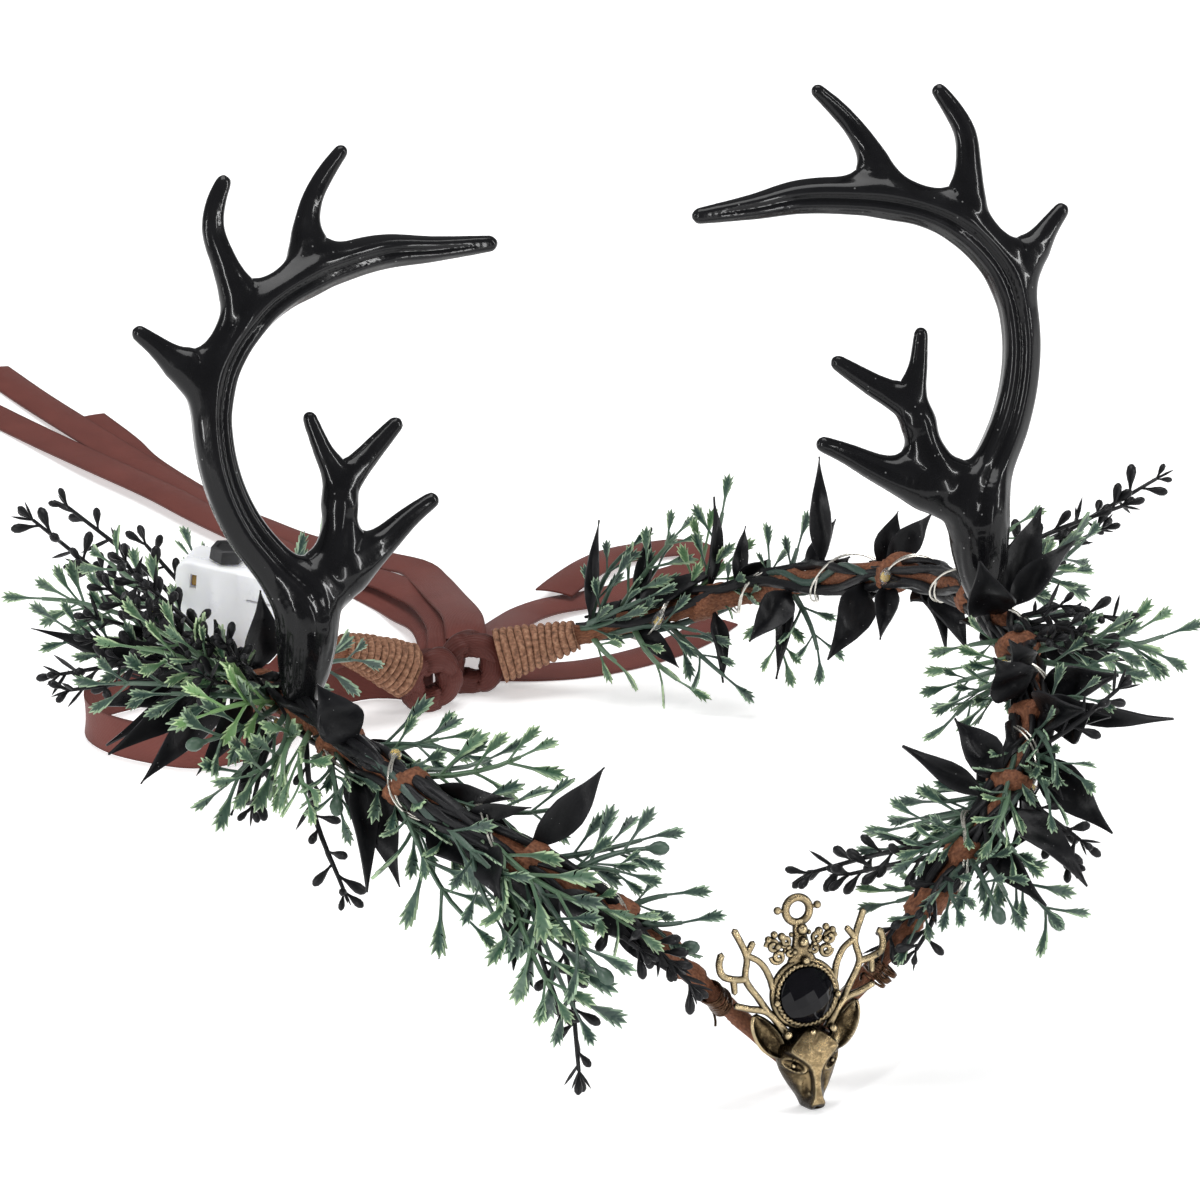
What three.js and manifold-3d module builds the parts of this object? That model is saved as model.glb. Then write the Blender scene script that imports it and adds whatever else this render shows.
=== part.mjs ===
// Antler crown: two wrapped wire branches form a head ring that dips to a V at the brow.
// A pair of moulded antlers stands on the ring, a cast deer-head charm hangs at the V, and
// fern sprigs, berry sprays and black leaf sprigs are bound along both branches. The rear
// ends are bound loops with satin ribbons, and a light string runs round the branches from
// a coin-cell box. Millimetres, +Z up, -Y is the wearer's front, X = 0 is the middle of the brow.
import * as THREE from "three";
import { mergeVertices } from "three/addons/utils/BufferGeometryUtils.js";
import Module from "manifold-3d";

const wasm = await Module();
wasm.setup();

// Driving dimensions
const GAP = 0.35; // clearance between neighbouring pieces
const BRANCH_DIAMETER = 6;
const BINDING = { start: 8.2, length: 18, wide: 12.6, narrow: 7 };
const LOOP = { ring: 5.2, tube: 2.6 };
const RIBBON = { width: 10, thick: 0.7 };
const WIRE = { diameter: 1.3, pitch: 29, starts: 112, straight: 40, stops_per_turn: 6, slack: 0.3 };
const LIGHT = { every: 62, long: 6, wide: 2.8, thick: 1.7 };
const STONE = { diameter: 12, girdle: 0.9, depth: 3.9 };
const PENDANT = { chin_y: -131, lift: -0.4, lean: 13, tine_depth: 0.6, ear_depth: -0.4 };
const TIE = { along: { left: 315, right: 319 }, long: 6, wall: 0.9, hole: [4.1, 6], forward: 1.1 };
const BOX = { wide: 25, tall: 22, deep: 11, corner: 3, at: [-72.4, 48, 56.6], yaw: -38, roll: 5 };
const BOX_SLOTS = [{ x: -8, z: 6.5, wide: 1.6, tall: 3.4 }, { x: 8, z: 5, wide: 6, tall: 1.6 }];
const BUTTON = { across: 8.5, tall: 3.2, offset: -2 };
const FERN = { stem: 1.5, leaflet: 11.5, leaflet_wide: 3.8, thick: 1.3, angle: 42, pair_every: 15 };
const SPRAY = { stem: 1.9, berry_long: 6.4, berry_wide: 3.6, berry_every: 8 };
const LEAF = { thick: 1.2 };
const FACE = new THREE.Vector3(-0.32, -0.86, 0.4); // most sprigs turn their flat side this way
const MIDDLE = { x: 7.5, y: -16.7 }; // the whole crown is set so that its box is centred on the origin

// Branch routes from the rear loop to the V behind the charm: x, y, z
const ROUTE_POINTS = {
  left: [
    [-7.5, 97, 7.4], [-30, 95, 20], [-60, 78, 31], [-81.4, 22.3, 52],
    [-83, -31, 64.5], [-67, -91, 62], [-40, -116.5, 46], [-0.3, -119, 5],
  ],
  right: [
    [5.5, 103, 7.4], [31, 95, 14.5], [60, 80, 25], [81.4, 22.3, 52],
    [83, -31, 64.5], [67, -91, 62], [40, -116.5, 46], [0.3, -119, 5],
  ],
};

// Right antler, mirrored for the left. Each limb is a row list: x, y, z, width
const ANTLER_LIMBS = {
  beam: [
    [82, -30, 68.8, 7], [80.8, -30.5, 76, 12], [80.5, -30, 88, 14], [85, -25.5, 96, 10.8], [91, -21.5, 105, 9.8],
    [94.5, -18.5, 114, 9.4], [96, -15.5, 124, 9.4], [95, -12, 134.5, 9.8], [90.5, -9, 143, 10.4],
    [82, -6, 150.5, 9.8], [72, -3, 154.5, 9.4], [60, 1, 156, 9], [49.5, 4, 156, 8.2], [38, 3.5, 155.3, 6.2],
    [23, 3, 155, 3.6],
  ],
  outer: [[95.5, -12, 135, 9.6], [101, -9.5, 140.5, 7.6], [105.5, -7.5, 145, 5.2], [111, -5.5, 149.8, 3.4]],
  top_rear: [
    [86.5, -7.5, 150, 9], [88, -2.5, 159, 6.4], [89.3, 3, 166.5, 5.4], [87.5, 6.5, 171.5, 4.7], [84, 9, 177, 3.4],
  ],
  top_front: [
    [70, -1, 155, 9.4], [67.5, 4.5, 163, 6.4], [64.5, 8.5, 169, 5], [60.5, 10.5, 174, 4.3], [55.3, 12, 179.3, 3.1],
  ],
  brow: [[79, -29, 89, 11.4], [73, -25.5, 96, 9.4], [69.8, -22.5, 103.5, 7.8], [68.5, -20, 111, 7.6]],
  low_up: [[68.8, -19.5, 109, 6.6], [69.6, -17.5, 114.5, 5.4], [71.2, -15, 120, 4.4], [73.3, -11.5, 127.5, 3.3]],
  low_in: [[68.4, -20, 110.5, 6.8], [61, -15, 115.5, 5.6], [56, -13, 119, 4.6], [51.2, -11.5, 122.5, 3.4]],
  low_front: [
    [77, -29, 90, 11.4], [68, -25.5, 94, 9.4], [58.5, -21.5, 98.6, 6.8], [52, -19.5, 102.3, 5],
    [45, -18.3, 105.8, 3.5],
  ],
};

// Charm, right half, in its own upright plane: x, height above the chin, width
const CHARM_TINES = {
  lower: [[4.6, 17.2, 2.2], [8.8, 22.8, 2], [13, 24.2, 1.8], [16.6, 25.6, 1.7]],
  stem: [[8.6, 22.6, 2], [10.5, 26, 1.8], [13.2, 30.8, 1.8], [12.6, 35.6, 1.7], [15.2, 42.4, 1.8]],
  hook: [[13.2, 30.8, 1.8], [16, 31.2, 1.8], [18.4, 32.4, 1.8], [19, 34.8, 1.8], [18.1, 37.6, 1.8]],
  spur: [[16, 31.4, 1.8], [15.9, 27.6, 1.6]],
  inner: [[12.6, 36, 1.7], [9.8, 34.2, 1.7], [7.9, 31, 1.8], [7, 27, 1.8]],
  fork: [[12.6, 36, 1.7], [10.6, 39, 1.6]],
};
// Charm head from chin to brow: depth, height, width, thickness
const CHARM_HEAD = [
  [1.2, 0.2, 3.2, 2.6], [1.6, 2.4, 5, 4.6], [1.4, 6.2, 9.4, 5.8],
  [0.8, 10.4, 13.8, 6], [0.4, 13.6, 12.8, 5.4], [0, 17, 9.6, 3.4],
];
// Charm ear: x, height, width, thickness
const CHARM_EAR = [[6, 13, 2.4, 2], [8.6, 16.4, 5.2, 1.6], [10.6, 19.8, 3.8, 1.4], [11.4, 22, 1, 1.2]];
// Charm balls and scrolls, both halves: x, height, depth, radius
const CHARM_BALLS = [
  [5.2, 17.5, 2, 1], [4.6, 44.6, 0, 1], [6.6, 37.6, 0.4, 1.7], [4.4, 38.9, 0.4, 1.5], [6, 34.8, 0.4, 1.6],
];
// Bars that carry the bezel and the eye, from below upwards: depth, height, width, thickness
const CHARM_BARS = {
  neck: [[0.2, 15.5, 6, 2.6], [0.2, 20, 3.2, 2]],
  crest: [[0.4, 31.6, 9, 2.2], [0.6, 36, 6, 3], [0.2, 41.8, 3, 2]],
};
const BEZEL = { height: 25.6, ring: 7.1, tube: 0.85, depth: 1.2, plate: 1.4 };
const EYE = { height: 44.2, ring: 2.8, tube: 0.9, depth: 0.2 };

// Fern sprigs: branch, millimetres along it, then the tip of each frond
const FERNS = [
  ["left", 60, [[-35, 93, 53]]],
  ["left", 118, [[-124, 49, 66]]],
  ["left", 150, [[-54, 5, 58]]],
  ["left", 165, [[-121, -11, 78]]],
  ["left", 176, [[-116, -44, 66]]],
  ["left", 196, [[-86, -72, 54]]],
  ["left", 228, [[-41, -98, 64], [-66, -105, 40]]],
  ["left", 264, [[-23, -112, 56], [-42, -126, 33]]],
  ["left", 297, [[-19, -127, 48]]],
  ["right", 28, [[64, 97, 38], [62, 68, 9]]],
  ["right", 61, [[66, 89, 49]]],
  ["right", 79, [[78, 72, 45], [74, 48, 16]]],
  ["right", 175, [[118, -10, 70], [114, -31, 53]]],
  ["right", 213, [[113, -74, 72], [57, -59, 60]]],
  ["right", 257, [[69, -121, 60]]],
  ["right", 274, [[26, -100, 43]]],
  ["right", 288, [[56, -139, 34], [38, -139, 38]]],
  ["right", 302, [[21, -106, 35]]],
];

// Black berry sprays: branch, millimetres along it, then the tip of each stem
const SPRAYS = [
  ["left", 96, [[-103, 76, 74], [-113, 70, 75]]],
  ["left", 125, [[-121, 15, 56]]],
  ["left", 160, [[-99, -16, 82]]],
  ["left", 186, [[-87, -64, 35]]],
  ["left", 270, [[-37, -92, 0.7]]],
  ["left", 281, [[-28, -130, 34]]],
  ["right", 160, [[139, 6, 73]]],
  ["right", 201, [[97, -64, 70]]],
  ["right", 263, [[63, -122, 44]]],
  ["right", 299, [[11, -99, 40], [24, -127, 30]]],
];

// Black leaf sprigs: branch, millimetres along it, then each leaf's tip and width
const LEAF_SPRIGS = [
  ["left", 128, [[-122, 33, 65, 7], [-115, 9, 45, 5], [-114, 3, 41, 9], [-108, 0, 35, 9]]],
  ["left", 156, [[-84, -10, 86, 9], [-101, -38, 45, 6]]],
  ["left", 210, [[-87, -57, 83, 11], [-77, -83, 44, 10], [-85, -84, 45, 6]]],
  ["left", 250, [[-50, -104, 70, 8], [-36, -100, 74, 8], [-65, -122, 40, 9]]],
  ["right", 36, [[39, 105, 39, 4], [51, 101, 36, 4], [63, 84, 31, 8], [49, 79, 10, 6]]],
  ["right", 68, [[61, 86, 49, 6], [69, 85, 40, 4], [55, 66, 10, 4]]],
  ["right", 92, [[56, 49, 27, 9], [62, 47, 18, 5], [80, 66, 65, 8]]],
  ["right", 124, [[62, 16, 35, 9], [86, 32, 66, 7], [92, 11, 36, 10]]],
  ["right", 194, [[73, -47, 83, 12], [104, -60, 60, 8], [96, -28, 86, 8]]],
  ["right", 236, [[62, -81, 77, 11], [89, -88, 71, 8], [100, -93, 60, 4], [82, -104, 40, 9]]],
  ["right", 279, [[45, -100, 71, 8], [34, -99, 66, 4], [63, -132, 43, 8], [50, -134, 42, 7]]],
];

// Satin ribbons from the rear loops: name, lies flat or stands on edge, then the route x, y, z
const RIBBONS = [
  ["ribbon_tail_long", "flat", [
    [6, 108.5, 11.5], [8, 115, 11.4], [11, 126, 10], [14, 147, 6.2], [16, 164, 3.4], [16, 176, 2],
    [11, 183, 1.7], [4, 191, 1.7], [-5, 202, 1.7], [-12, 216, 1.7], [-20, 234, 1.7], [-25, 254, 1.7],
    [-34, 291, 1.7], [-40, 321, 1], [-44, 345, 0.6],
  ]],
  ["ribbon_tail_low", "flat", [
    [0, 106, 9], [3, 114, 8.9], [7, 126, 7.6], [10, 147, 4.8], [9, 157, 3.6], [6, 168, 2.9], [0, 177, 2.8],
    [-8, 187, 2.8], [-15, 203, 2.8], [-23, 224, 2.8], [-29, 243, 2.8], [-38, 267, 2.6], [-44, 287, 1.5],
    [-50, 307, 0.7], [-54, 319, 0.6],
  ]],
  ["ribbon_tail_short", "flat", [
    [-3, 104, 6.5], [0, 112, 6.4], [4, 125, 5.2], [6, 138, 3.2], [5, 149, 1.6], [4, 158, 0.8], [-1, 175, 0.6],
    [-7, 196, 0.6], [-12, 214, 0.6], [-19, 239, 0.6], [-26, 270, 0.6], [-27, 284, 0.6], [-30, 304, 0.6],
  ]],
  ["ribbon_loop_left", "edge", [
    [-10, 101.5, 5.4], [-14, 104.5, 5.4], [-20, 106.5, 5.4], [-28, 105, 5.4], [-42, 94, 5.4], [-55, 85, 5.4],
    [-62, 82, 5.4], [-72, 83, 5.4], [-81, 90, 5.4], [-88, 99, 5.4], [-90, 108, 5.4], [-87, 116, 5.4],
    [-77, 120, 5.4], [-63, 121, 5.4], [-48, 119, 5.4], [-34, 117, 5.4], [-22, 113, 5.4], [-12, 107, 5.4], [-7.5, 103.8, 5.4], [-5, 101.8, 5.4],
  ]],
  ["ribbon_loop_right", "flat", [
    [12, 109, 9.5], [17, 117, 8], [25, 128, 5.2], [32, 136, 3.2], [40, 141, 2], [51, 143, 1.4], [61, 145, 1.3],
    [72, 149, 1.3], [81, 152, 1.3], [86, 156, 1.3], [87, 162, 1.3], [84, 166, 1.3], [76, 167, 1.3], [67, 166, 1.6],
    [58, 160, 2.6], [47, 150, 3.4], [42, 145, 3.6],
  ]],
  ["ribbon_under", "flat", [
    [14, 110, 0.9], [24, 107, 0.6], [35, 105, 0.6], [47, 106, 0.6], [58, 109, 0.6], [68, 114, 0.6],
    [77, 121, 0.6],
  ]],
];

const FINISHES = {
  bark_tape: { color: 0x6e3d24, roughness: 0.75, metalness: 0 },
  antler_black: { color: 0x0c0c0e, roughness: 0.25, metalness: 0 },
  bronze: { color: 0x8a6b3c, roughness: 0.38, metalness: 1 },
  black_stone: { color: 0x08080a, roughness: 0.08, metalness: 0 },
  tie_wire: { color: 0x6b4a2c, roughness: 0.4, metalness: 1 },
  box_plastic: { color: 0xe6e8ee, roughness: 0.35, metalness: 0 },
  button_black: { color: 0x101012, roughness: 0.5, metalness: 0 },
  ribbon_satin: { color: 0x5b2f27, roughness: 0.55, metalness: 0 },
  twine: { color: 0x8a5a35, roughness: 0.85, metalness: 0 },
  silver_wire: { color: 0xd9d4c8, roughness: 0.3, metalness: 0.8 },
  fern_green: { color: 0x3e6b45, roughness: 0.55, metalness: 0 },
  leaf_black: { color: 0x0f0f11, roughness: 0.45, metalness: 0 },
};

// Small vector helpers
const UP = new THREE.Vector3(0, 0, 1);
const point = (row) => new THREE.Vector3(row[0], row[1], row[2]);
const smoothCurve = (rows) => new THREE.CatmullRomCurve3(rows.map(point), false, "centripetal");
const mirrorRows = (rows, side) => rows.map(([x, ...rest]) => [side === "left" ? -x : x, ...rest]);

// Part of a direction square to an axis, as a unit vector
function squareTo(direction, axis) {
  return direction.clone().addScaledVector(axis, -direction.dot(axis)).normalize();
}

// Closed three.js geometry as a solid that can be joined and cut
function toSolid(geometry) {
  const plain = geometry.clone();
  plain.deleteAttribute("normal");
  plain.deleteAttribute("uv");
  const merged = mergeVertices(plain);
  const corners = [];
  for (let i = 0; i < merged.index.count; i += 3) {
    const [a, b, c] = [0, 1, 2].map((k) => merged.index.getX(i + k));
    if (a !== b && b !== c && c !== a) corners.push(a, b, c);
  }
  const mesh = new wasm.Mesh({
    numProp: 3,
    vertProperties: new Float32Array(merged.attributes.position.array),
    triVerts: new Uint32Array(corners),
  });
  return new wasm.Manifold(mesh);
}

function toGeometry(solid) {
  const mesh = solid.getMesh();
  const geometry = new THREE.BufferGeometry();
  geometry.setAttribute("position", new THREE.BufferAttribute(new Float32Array(mesh.vertProperties), 3));
  geometry.setIndex(new THREE.BufferAttribute(new Uint32Array(mesh.triVerts), 1));
  geometry.computeVertexNormals();
  return geometry;
}

const join = (solids) => solids.reduce((whole, next) => whole.add(next));

// Cylinder bent along rows of x, y, z, width and, for flat limbs, thickness
function limb(rows, { sides = 8, stepsPerRow = 2, facing = UP, grow = 0 } = {}) {
  const curve = smoothCurve(rows);
  const steps = (rows.length - 1) * stepsPerRow;
  const geometry = new THREE.CylinderGeometry(1, 1, 1, sides, steps);
  const position = geometry.attributes.position;
  for (let i = 0; i < position.count; i += 1) {
    const t = position.getY(i) + 0.5;
    const place = t * (rows.length - 1);
    const row = Math.min(Math.floor(place), rows.length - 2);
    const size = (column) => THREE.MathUtils.lerp(rows[row][column], rows[row + 1][column], place - row);
    const tangent = curve.getTangent(t);
    const thin = squareTo(facing, tangent);
    const wide = new THREE.Vector3().crossVectors(tangent, thin);
    const across = size(3) / 2 + grow;
    const through = rows[0].length > 4 ? size(4) / 2 + grow : across;
    const at = curve.getPoint(t);
    at.addScaledVector(wide, position.getX(i) * across).addScaledVector(thin, position.getZ(i) * through);
    position.setXYZ(i, at.x, at.y, at.z);
  }
  return toSolid(geometry);
}

// Constant section drawn along a curve
function drawn(section, curve, steps) {
  return toSolid(new THREE.ExtrudeGeometry(section, { steps, extrudePath: curve, bevelEnabled: false }));
}

function roundSection(diameter, sides) {
  const corners = [];
  for (let i = 0; i < sides; i += 1) {
    const turn = (2 * Math.PI * i) / sides;
    corners.push(new THREE.Vector2(Math.cos(turn), Math.sin(turn)).multiplyScalar(diameter / 2));
  }
  return new THREE.Shape(corners);
}

function flatSection(tall, wide) {
  const corners = [[-tall, -wide], [tall, -wide], [tall, wide], [-tall, wide]];
  return new THREE.Shape(corners.map(([x, y]) => new THREE.Vector2(x / 2, y / 2)));
}

// A simple closed shape, stretched along three directions and set at a place
function stretched(geometry, at, along, across, through) {
  const frame = new THREE.Matrix4().makeBasis(across, through, along).setPosition(at);
  if (frame.determinant() < 0) frame.makeBasis(across.clone().negate(), through, along).setPosition(at);
  return toSolid(geometry.clone().applyMatrix4(frame));
}

// Branches
const routes = {};
for (const side of ["left", "right"]) {
  const curve = smoothCurve(ROUTE_POINTS[side]);
  routes[side] = { curve, length: curve.getLength() };
}

// Centre and direction of a branch, some millimetres from its rear loop
function onBranch(side, along) {
  const { curve, length } = routes[side];
  const u = THREE.MathUtils.clamp(along / length, 0, 1);
  return { at: curve.getPointAt(u), along: curve.getTangentAt(u) };
}

// Smooth curve through a stretch of a branch
function branchStretch(side, from, to, count) {
  const points = [];
  for (let i = 0; i <= count; i += 1) points.push(onBranch(side, from + ((to - from) * i) / count).at);
  return new THREE.CatmullRomCurve3(points);
}

function branch(side, grow) {
  const start = BINDING.start + BINDING.length + GAP;
  const stretch = branchStretch(side, start, routes[side].length, 24);
  return drawn(roundSection(BRANCH_DIAMETER + 2 * grow, 8), stretch, 34);
}

// Rear end of a branch: a loop wrapped in ribbon, pressed flat where it rests, and its twine binding
function endLoop(side, grow) {
  const { at, along } = onBranch(side, 0);
  const out = new THREE.Vector3(along.x, along.y, 0).normalize();
  const through = new THREE.Vector3().crossVectors(UP, out);
  const ring = new THREE.TorusGeometry(LOOP.ring, LOOP.tube + grow, 8, 14);
  ring.applyMatrix4(new THREE.Matrix4().makeBasis(out, UP, through.negate()).setPosition(at));
  const floorBlock = new THREE.BoxGeometry(60, 60, 20).translate(at.x, at.y, -10);
  return toSolid(ring).subtract(toSolid(floorBlock));
}

function endBinding(side, grow) {
  const { start, length, wide, narrow } = BINDING;
  const rows = [0, 0.4, 1].map((share) => {
    const { at } = onBranch(side, start + GAP + (length - GAP) * share);
    return [at.x, at.y, at.z, THREE.MathUtils.lerp(wide, narrow, share)];
  });
  return limb(rows, { sides: 12, grow });
}

// Antlers
function antler(side, grow) {
  const limbs = Object.entries(ANTLER_LIMBS).map(([name, rows]) => {
    const [sides, stepsPerRow] = name === "beam" ? [8, 2] : [6, 1];
    return limb(mirrorRows(rows, side), { sides, stepsPerRow, facing: FACE, grow });
  });
  return join(limbs);
}

// Charm: x across, y through it (the face looks to -y), z up from the chin
const charmFrame = new THREE.Matrix4().makeRotationX(THREE.MathUtils.degToRad(-PENDANT.lean));
charmFrame.setPosition(0, PENDANT.chin_y, PENDANT.lift);
const charmPoint = (x, depth, height) => new THREE.Vector3(x, -depth, height).applyMatrix4(charmFrame);
const charmAxis = (x, y, z) => new THREE.Vector3(x, y, z).transformDirection(charmFrame);

function charmLimb(rows, options) {
  const inCrown = rows.map(([x, depth, height, ...sizes]) => {
    return [...charmPoint(x, depth, height).toArray(), ...sizes];
  });
  return limb(inCrown, { facing: charmAxis(0, -1, 0), ...options });
}

function charmRing({ height, ring, tube, depth }, grow) {
  const circle = new THREE.TorusGeometry(ring, tube + grow, 5, 14).rotateX(Math.PI / 2);
  return toSolid(circle.translate(0, -depth, height).applyMatrix4(charmFrame));
}

function charm(grow) {
  const middle = ([depth, height, ...sizes]) => [0, depth, height, ...sizes];
  const parts = [charmLimb(CHARM_HEAD.map(middle), { sides: 8, stepsPerRow: 1, grow })];
  for (const bar of Object.values(CHARM_BARS)) {
    parts.push(charmLimb(bar.map(middle), { stepsPerRow: 1, grow }));
  }
  for (const mirror of [1, -1]) {
    for (const rows of Object.values(CHARM_TINES)) {
      const tine = rows.map(([x, height, wide]) => [mirror * x, PENDANT.tine_depth, height, wide]);
      parts.push(charmLimb(tine, { sides: 4, stepsPerRow: 1, grow }));
    }
    const ear = CHARM_EAR.map(([x, height, ...sizes]) => [mirror * x, PENDANT.ear_depth, height, ...sizes]);
    parts.push(charmLimb(ear, { sides: 6, stepsPerRow: 1, grow }));
    for (const [x, height, depth, radius] of CHARM_BALLS) {
      const ball = new THREE.IcosahedronGeometry(radius + grow, 0);
      parts.push(toSolid(ball.translate(mirror * x, -depth, height).applyMatrix4(charmFrame)));
    }
  }
  const plate = new THREE.CylinderGeometry(BEZEL.ring + grow, BEZEL.ring + grow, BEZEL.plate + 2 * grow, 14);
  parts.push(toSolid(plate.translate(0, 0, BEZEL.height).applyMatrix4(charmFrame)));
  parts.push(charmRing(BEZEL, grow), charmRing(EYE, grow));
  return join(parts);
}

// Stone with a flat girdle and a cut dome, in the charm's bezel
function stone(grow) {
  const radius = STONE.diameter / 2 + grow;
  const { girdle, depth } = STONE;
  const profile = [
    [0, -grow], [radius, -grow], [radius, girdle], [radius * 0.72, depth * 0.74], [0, depth + grow],
  ];
  const cut = new THREE.LatheGeometry(profile.map(([r, h]) => new THREE.Vector2(r, h)), 12);
  cut.rotateX(Math.PI).translate(0, -BEZEL.plate / 2 - GAP, BEZEL.height);
  return toSolid(cut.applyMatrix4(charmFrame));
}

// Wire turns that hold the charm's lower tine to the branch, as one oval sleeve
function charmTie(side, grow) {
  const { at, along } = onBranch(side, TIE.along[side]);
  const back = new THREE.Vector3(0, 1, 0);
  const across = new THREE.Vector3().crossVectors(back, along).normalize();
  const [outer, inner] = [TIE.wall + grow, -grow].map((wall) => TIE.hole.map((radius) => radius + wall));
  const sleeve = new THREE.Shape().absellipse(0, 0, ...outer, 0, 2 * Math.PI);
  sleeve.holes.push(new THREE.Path().absellipse(0, 0, ...inner, 0, 2 * Math.PI));
  const ring = new THREE.ExtrudeGeometry(sleeve, { depth: TIE.long, bevelEnabled: false, curveSegments: 5 });
  const frame = new THREE.Matrix4().makeBasis(across, back, along.clone());
  ring.translate(0, -TIE.forward, -TIE.long / 2).applyMatrix4(frame).translate(at.x, at.y, at.z);
  return toSolid(ring);
}

// Coin-cell box on the left branch, its contact slots, and the push button on top
const boxFrame = new THREE.Matrix4().makeRotationFromEuler(
  new THREE.Euler(0, THREE.MathUtils.degToRad(BOX.roll), THREE.MathUtils.degToRad(BOX.yaw), "ZYX"),
);
boxFrame.setPosition(...BOX.at);

function roundedPlate(wide, tall, corner, deep) {
  const [w, h] = [wide / 2 - corner, tall / 2 - corner];
  const outline = new THREE.Shape();
  outline.absarc(w, h, corner, 0, Math.PI / 2);
  outline.absarc(-w, h, corner, Math.PI / 2, Math.PI);
  outline.absarc(-w, -h, corner, Math.PI, 1.5 * Math.PI);
  outline.absarc(w, -h, corner, 1.5 * Math.PI, 2 * Math.PI);
  const plate = new THREE.ExtrudeGeometry(outline, { depth: deep, bevelEnabled: false, curveSegments: 4 });
  return plate.translate(0, 0, -deep / 2).rotateX(Math.PI / 2);
}

function batteryBox(grow) {
  const { wide, tall, deep, corner } = BOX;
  const plate = roundedPlate(wide + 2 * grow, tall + 2 * grow, corner, deep + 2 * grow);
  const shell = toSolid(plate.applyMatrix4(boxFrame));
  if (grow > 0) return shell;
  const slots = BOX_SLOTS.map((slot) => {
    const cut = new THREE.BoxGeometry(slot.wide, 3, slot.tall).translate(slot.x, -deep / 2, slot.z);
    return toSolid(cut.applyMatrix4(boxFrame));
  });
  return shell.subtract(join(slots));
}

function batteryButton(grow) {
  const { across, tall, offset } = BUTTON;
  const button = new THREE.CylinderGeometry(across / 2 + grow, across / 2 + grow, tall + 2 * grow, 6);
  button.rotateX(Math.PI / 2).translate(offset, 0, BOX.tall / 2 + tall / 2 + GAP);
  return toSolid(button.applyMatrix4(boxFrame));
}

// Light string: wound round the left branch from the box, straight behind the V, round the right branch
function lightRoute() {
  const { diameter, pitch, starts, straight, stops_per_turn, slack } = WIRE;
  const clear = BRANCH_DIAMETER / 2 + GAP + diameter / 2;
  const reach = clear / Math.cos(Math.PI / stops_per_turn) + slack;
  const rear = BINDING.start + BINDING.length + 4;
  const leftEnd = routes.left.length;
  const total = leftEnd - starts + (routes.right.length - rear);
  const stops = Math.round((total / pitch) * stops_per_turn);
  const points = [];
  for (let i = 0; i <= stops; i += 1) {
    const run = starts + (total * i) / stops;
    const onLeft = run <= leftEnd;
    const fromRear = onLeft ? run : routes.right.length - (run - leftEnd);
    const { at, along } = onBranch(onLeft ? "left" : "right", fromRear);
    if (!onLeft) along.negate();
    const wound = Math.max(0, Math.abs(run - leftEnd) - straight);
    const turn = -Math.PI / 2 - (2 * Math.PI * wound) / pitch;
    const rise = squareTo(UP, along);
    const side = new THREE.Vector3().crossVectors(along, rise);
    points.push(at.addScaledVector(rise, reach * Math.cos(turn)).addScaledVector(side, reach * Math.sin(turn)));
  }
  return { curve: new THREE.CatmullRomCurve3(points), stops };
}

function lightWire(grow) {
  const { curve, stops } = lightRoute();
  const parts = [drawn(roundSection(WIRE.diameter + 2 * grow, 4), curve, stops)];
  const length = curve.getLength();
  for (let run = LIGHT.every / 2; run < length - LIGHT.long; run += LIGHT.every) {
    const along = curve.getTangentAt(run / length);
    const across = squareTo(UP, along);
    const through = new THREE.Vector3().crossVectors(along, across);
    along.multiplyScalar(LIGHT.long / 2 + grow);
    across.multiplyScalar(LIGHT.wide / 2 + grow);
    through.multiplyScalar(LIGHT.thick / 2 + grow);
    const bead = new THREE.OctahedronGeometry(1, 0);
    parts.push(stretched(bead, curve.getPointAt(run / length), along, across, through));
  }
  return join(parts);
}

// Foot of a sprig: on the branch's skin, on the side that its tips lean to
function sprigFoot(side, along, tips) {
  const { at, along: axis } = onBranch(side, along);
  const lean = new THREE.Vector3();
  for (const tip of tips) lean.add(squareTo(point(tip).sub(at), axis));
  if (tips.length > 1) lean.addScaledVector(FACE, 0.8);
  return at.addScaledVector(squareTo(lean, axis), BRANCH_DIAMETER / 2 + GAP + 0.9);
}

// Diamond-shaped blade from a foot towards a direction
function blade(foot, direction, length, wide, thick, facing, grow) {
  const through = squareTo(facing, direction);
  const across = new THREE.Vector3().crossVectors(direction, through);
  const at = foot.clone().addScaledVector(direction, length / 2);
  return stretched(
    new THREE.OctahedronGeometry(1, 0),
    at,
    direction.clone().multiplyScalar(length / 2 + 2 * grow),
    across.multiplyScalar(wide / 2 + 2 * grow),
    through.multiplyScalar(thick / 2 + 1.3 * grow),
  );
}

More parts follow.
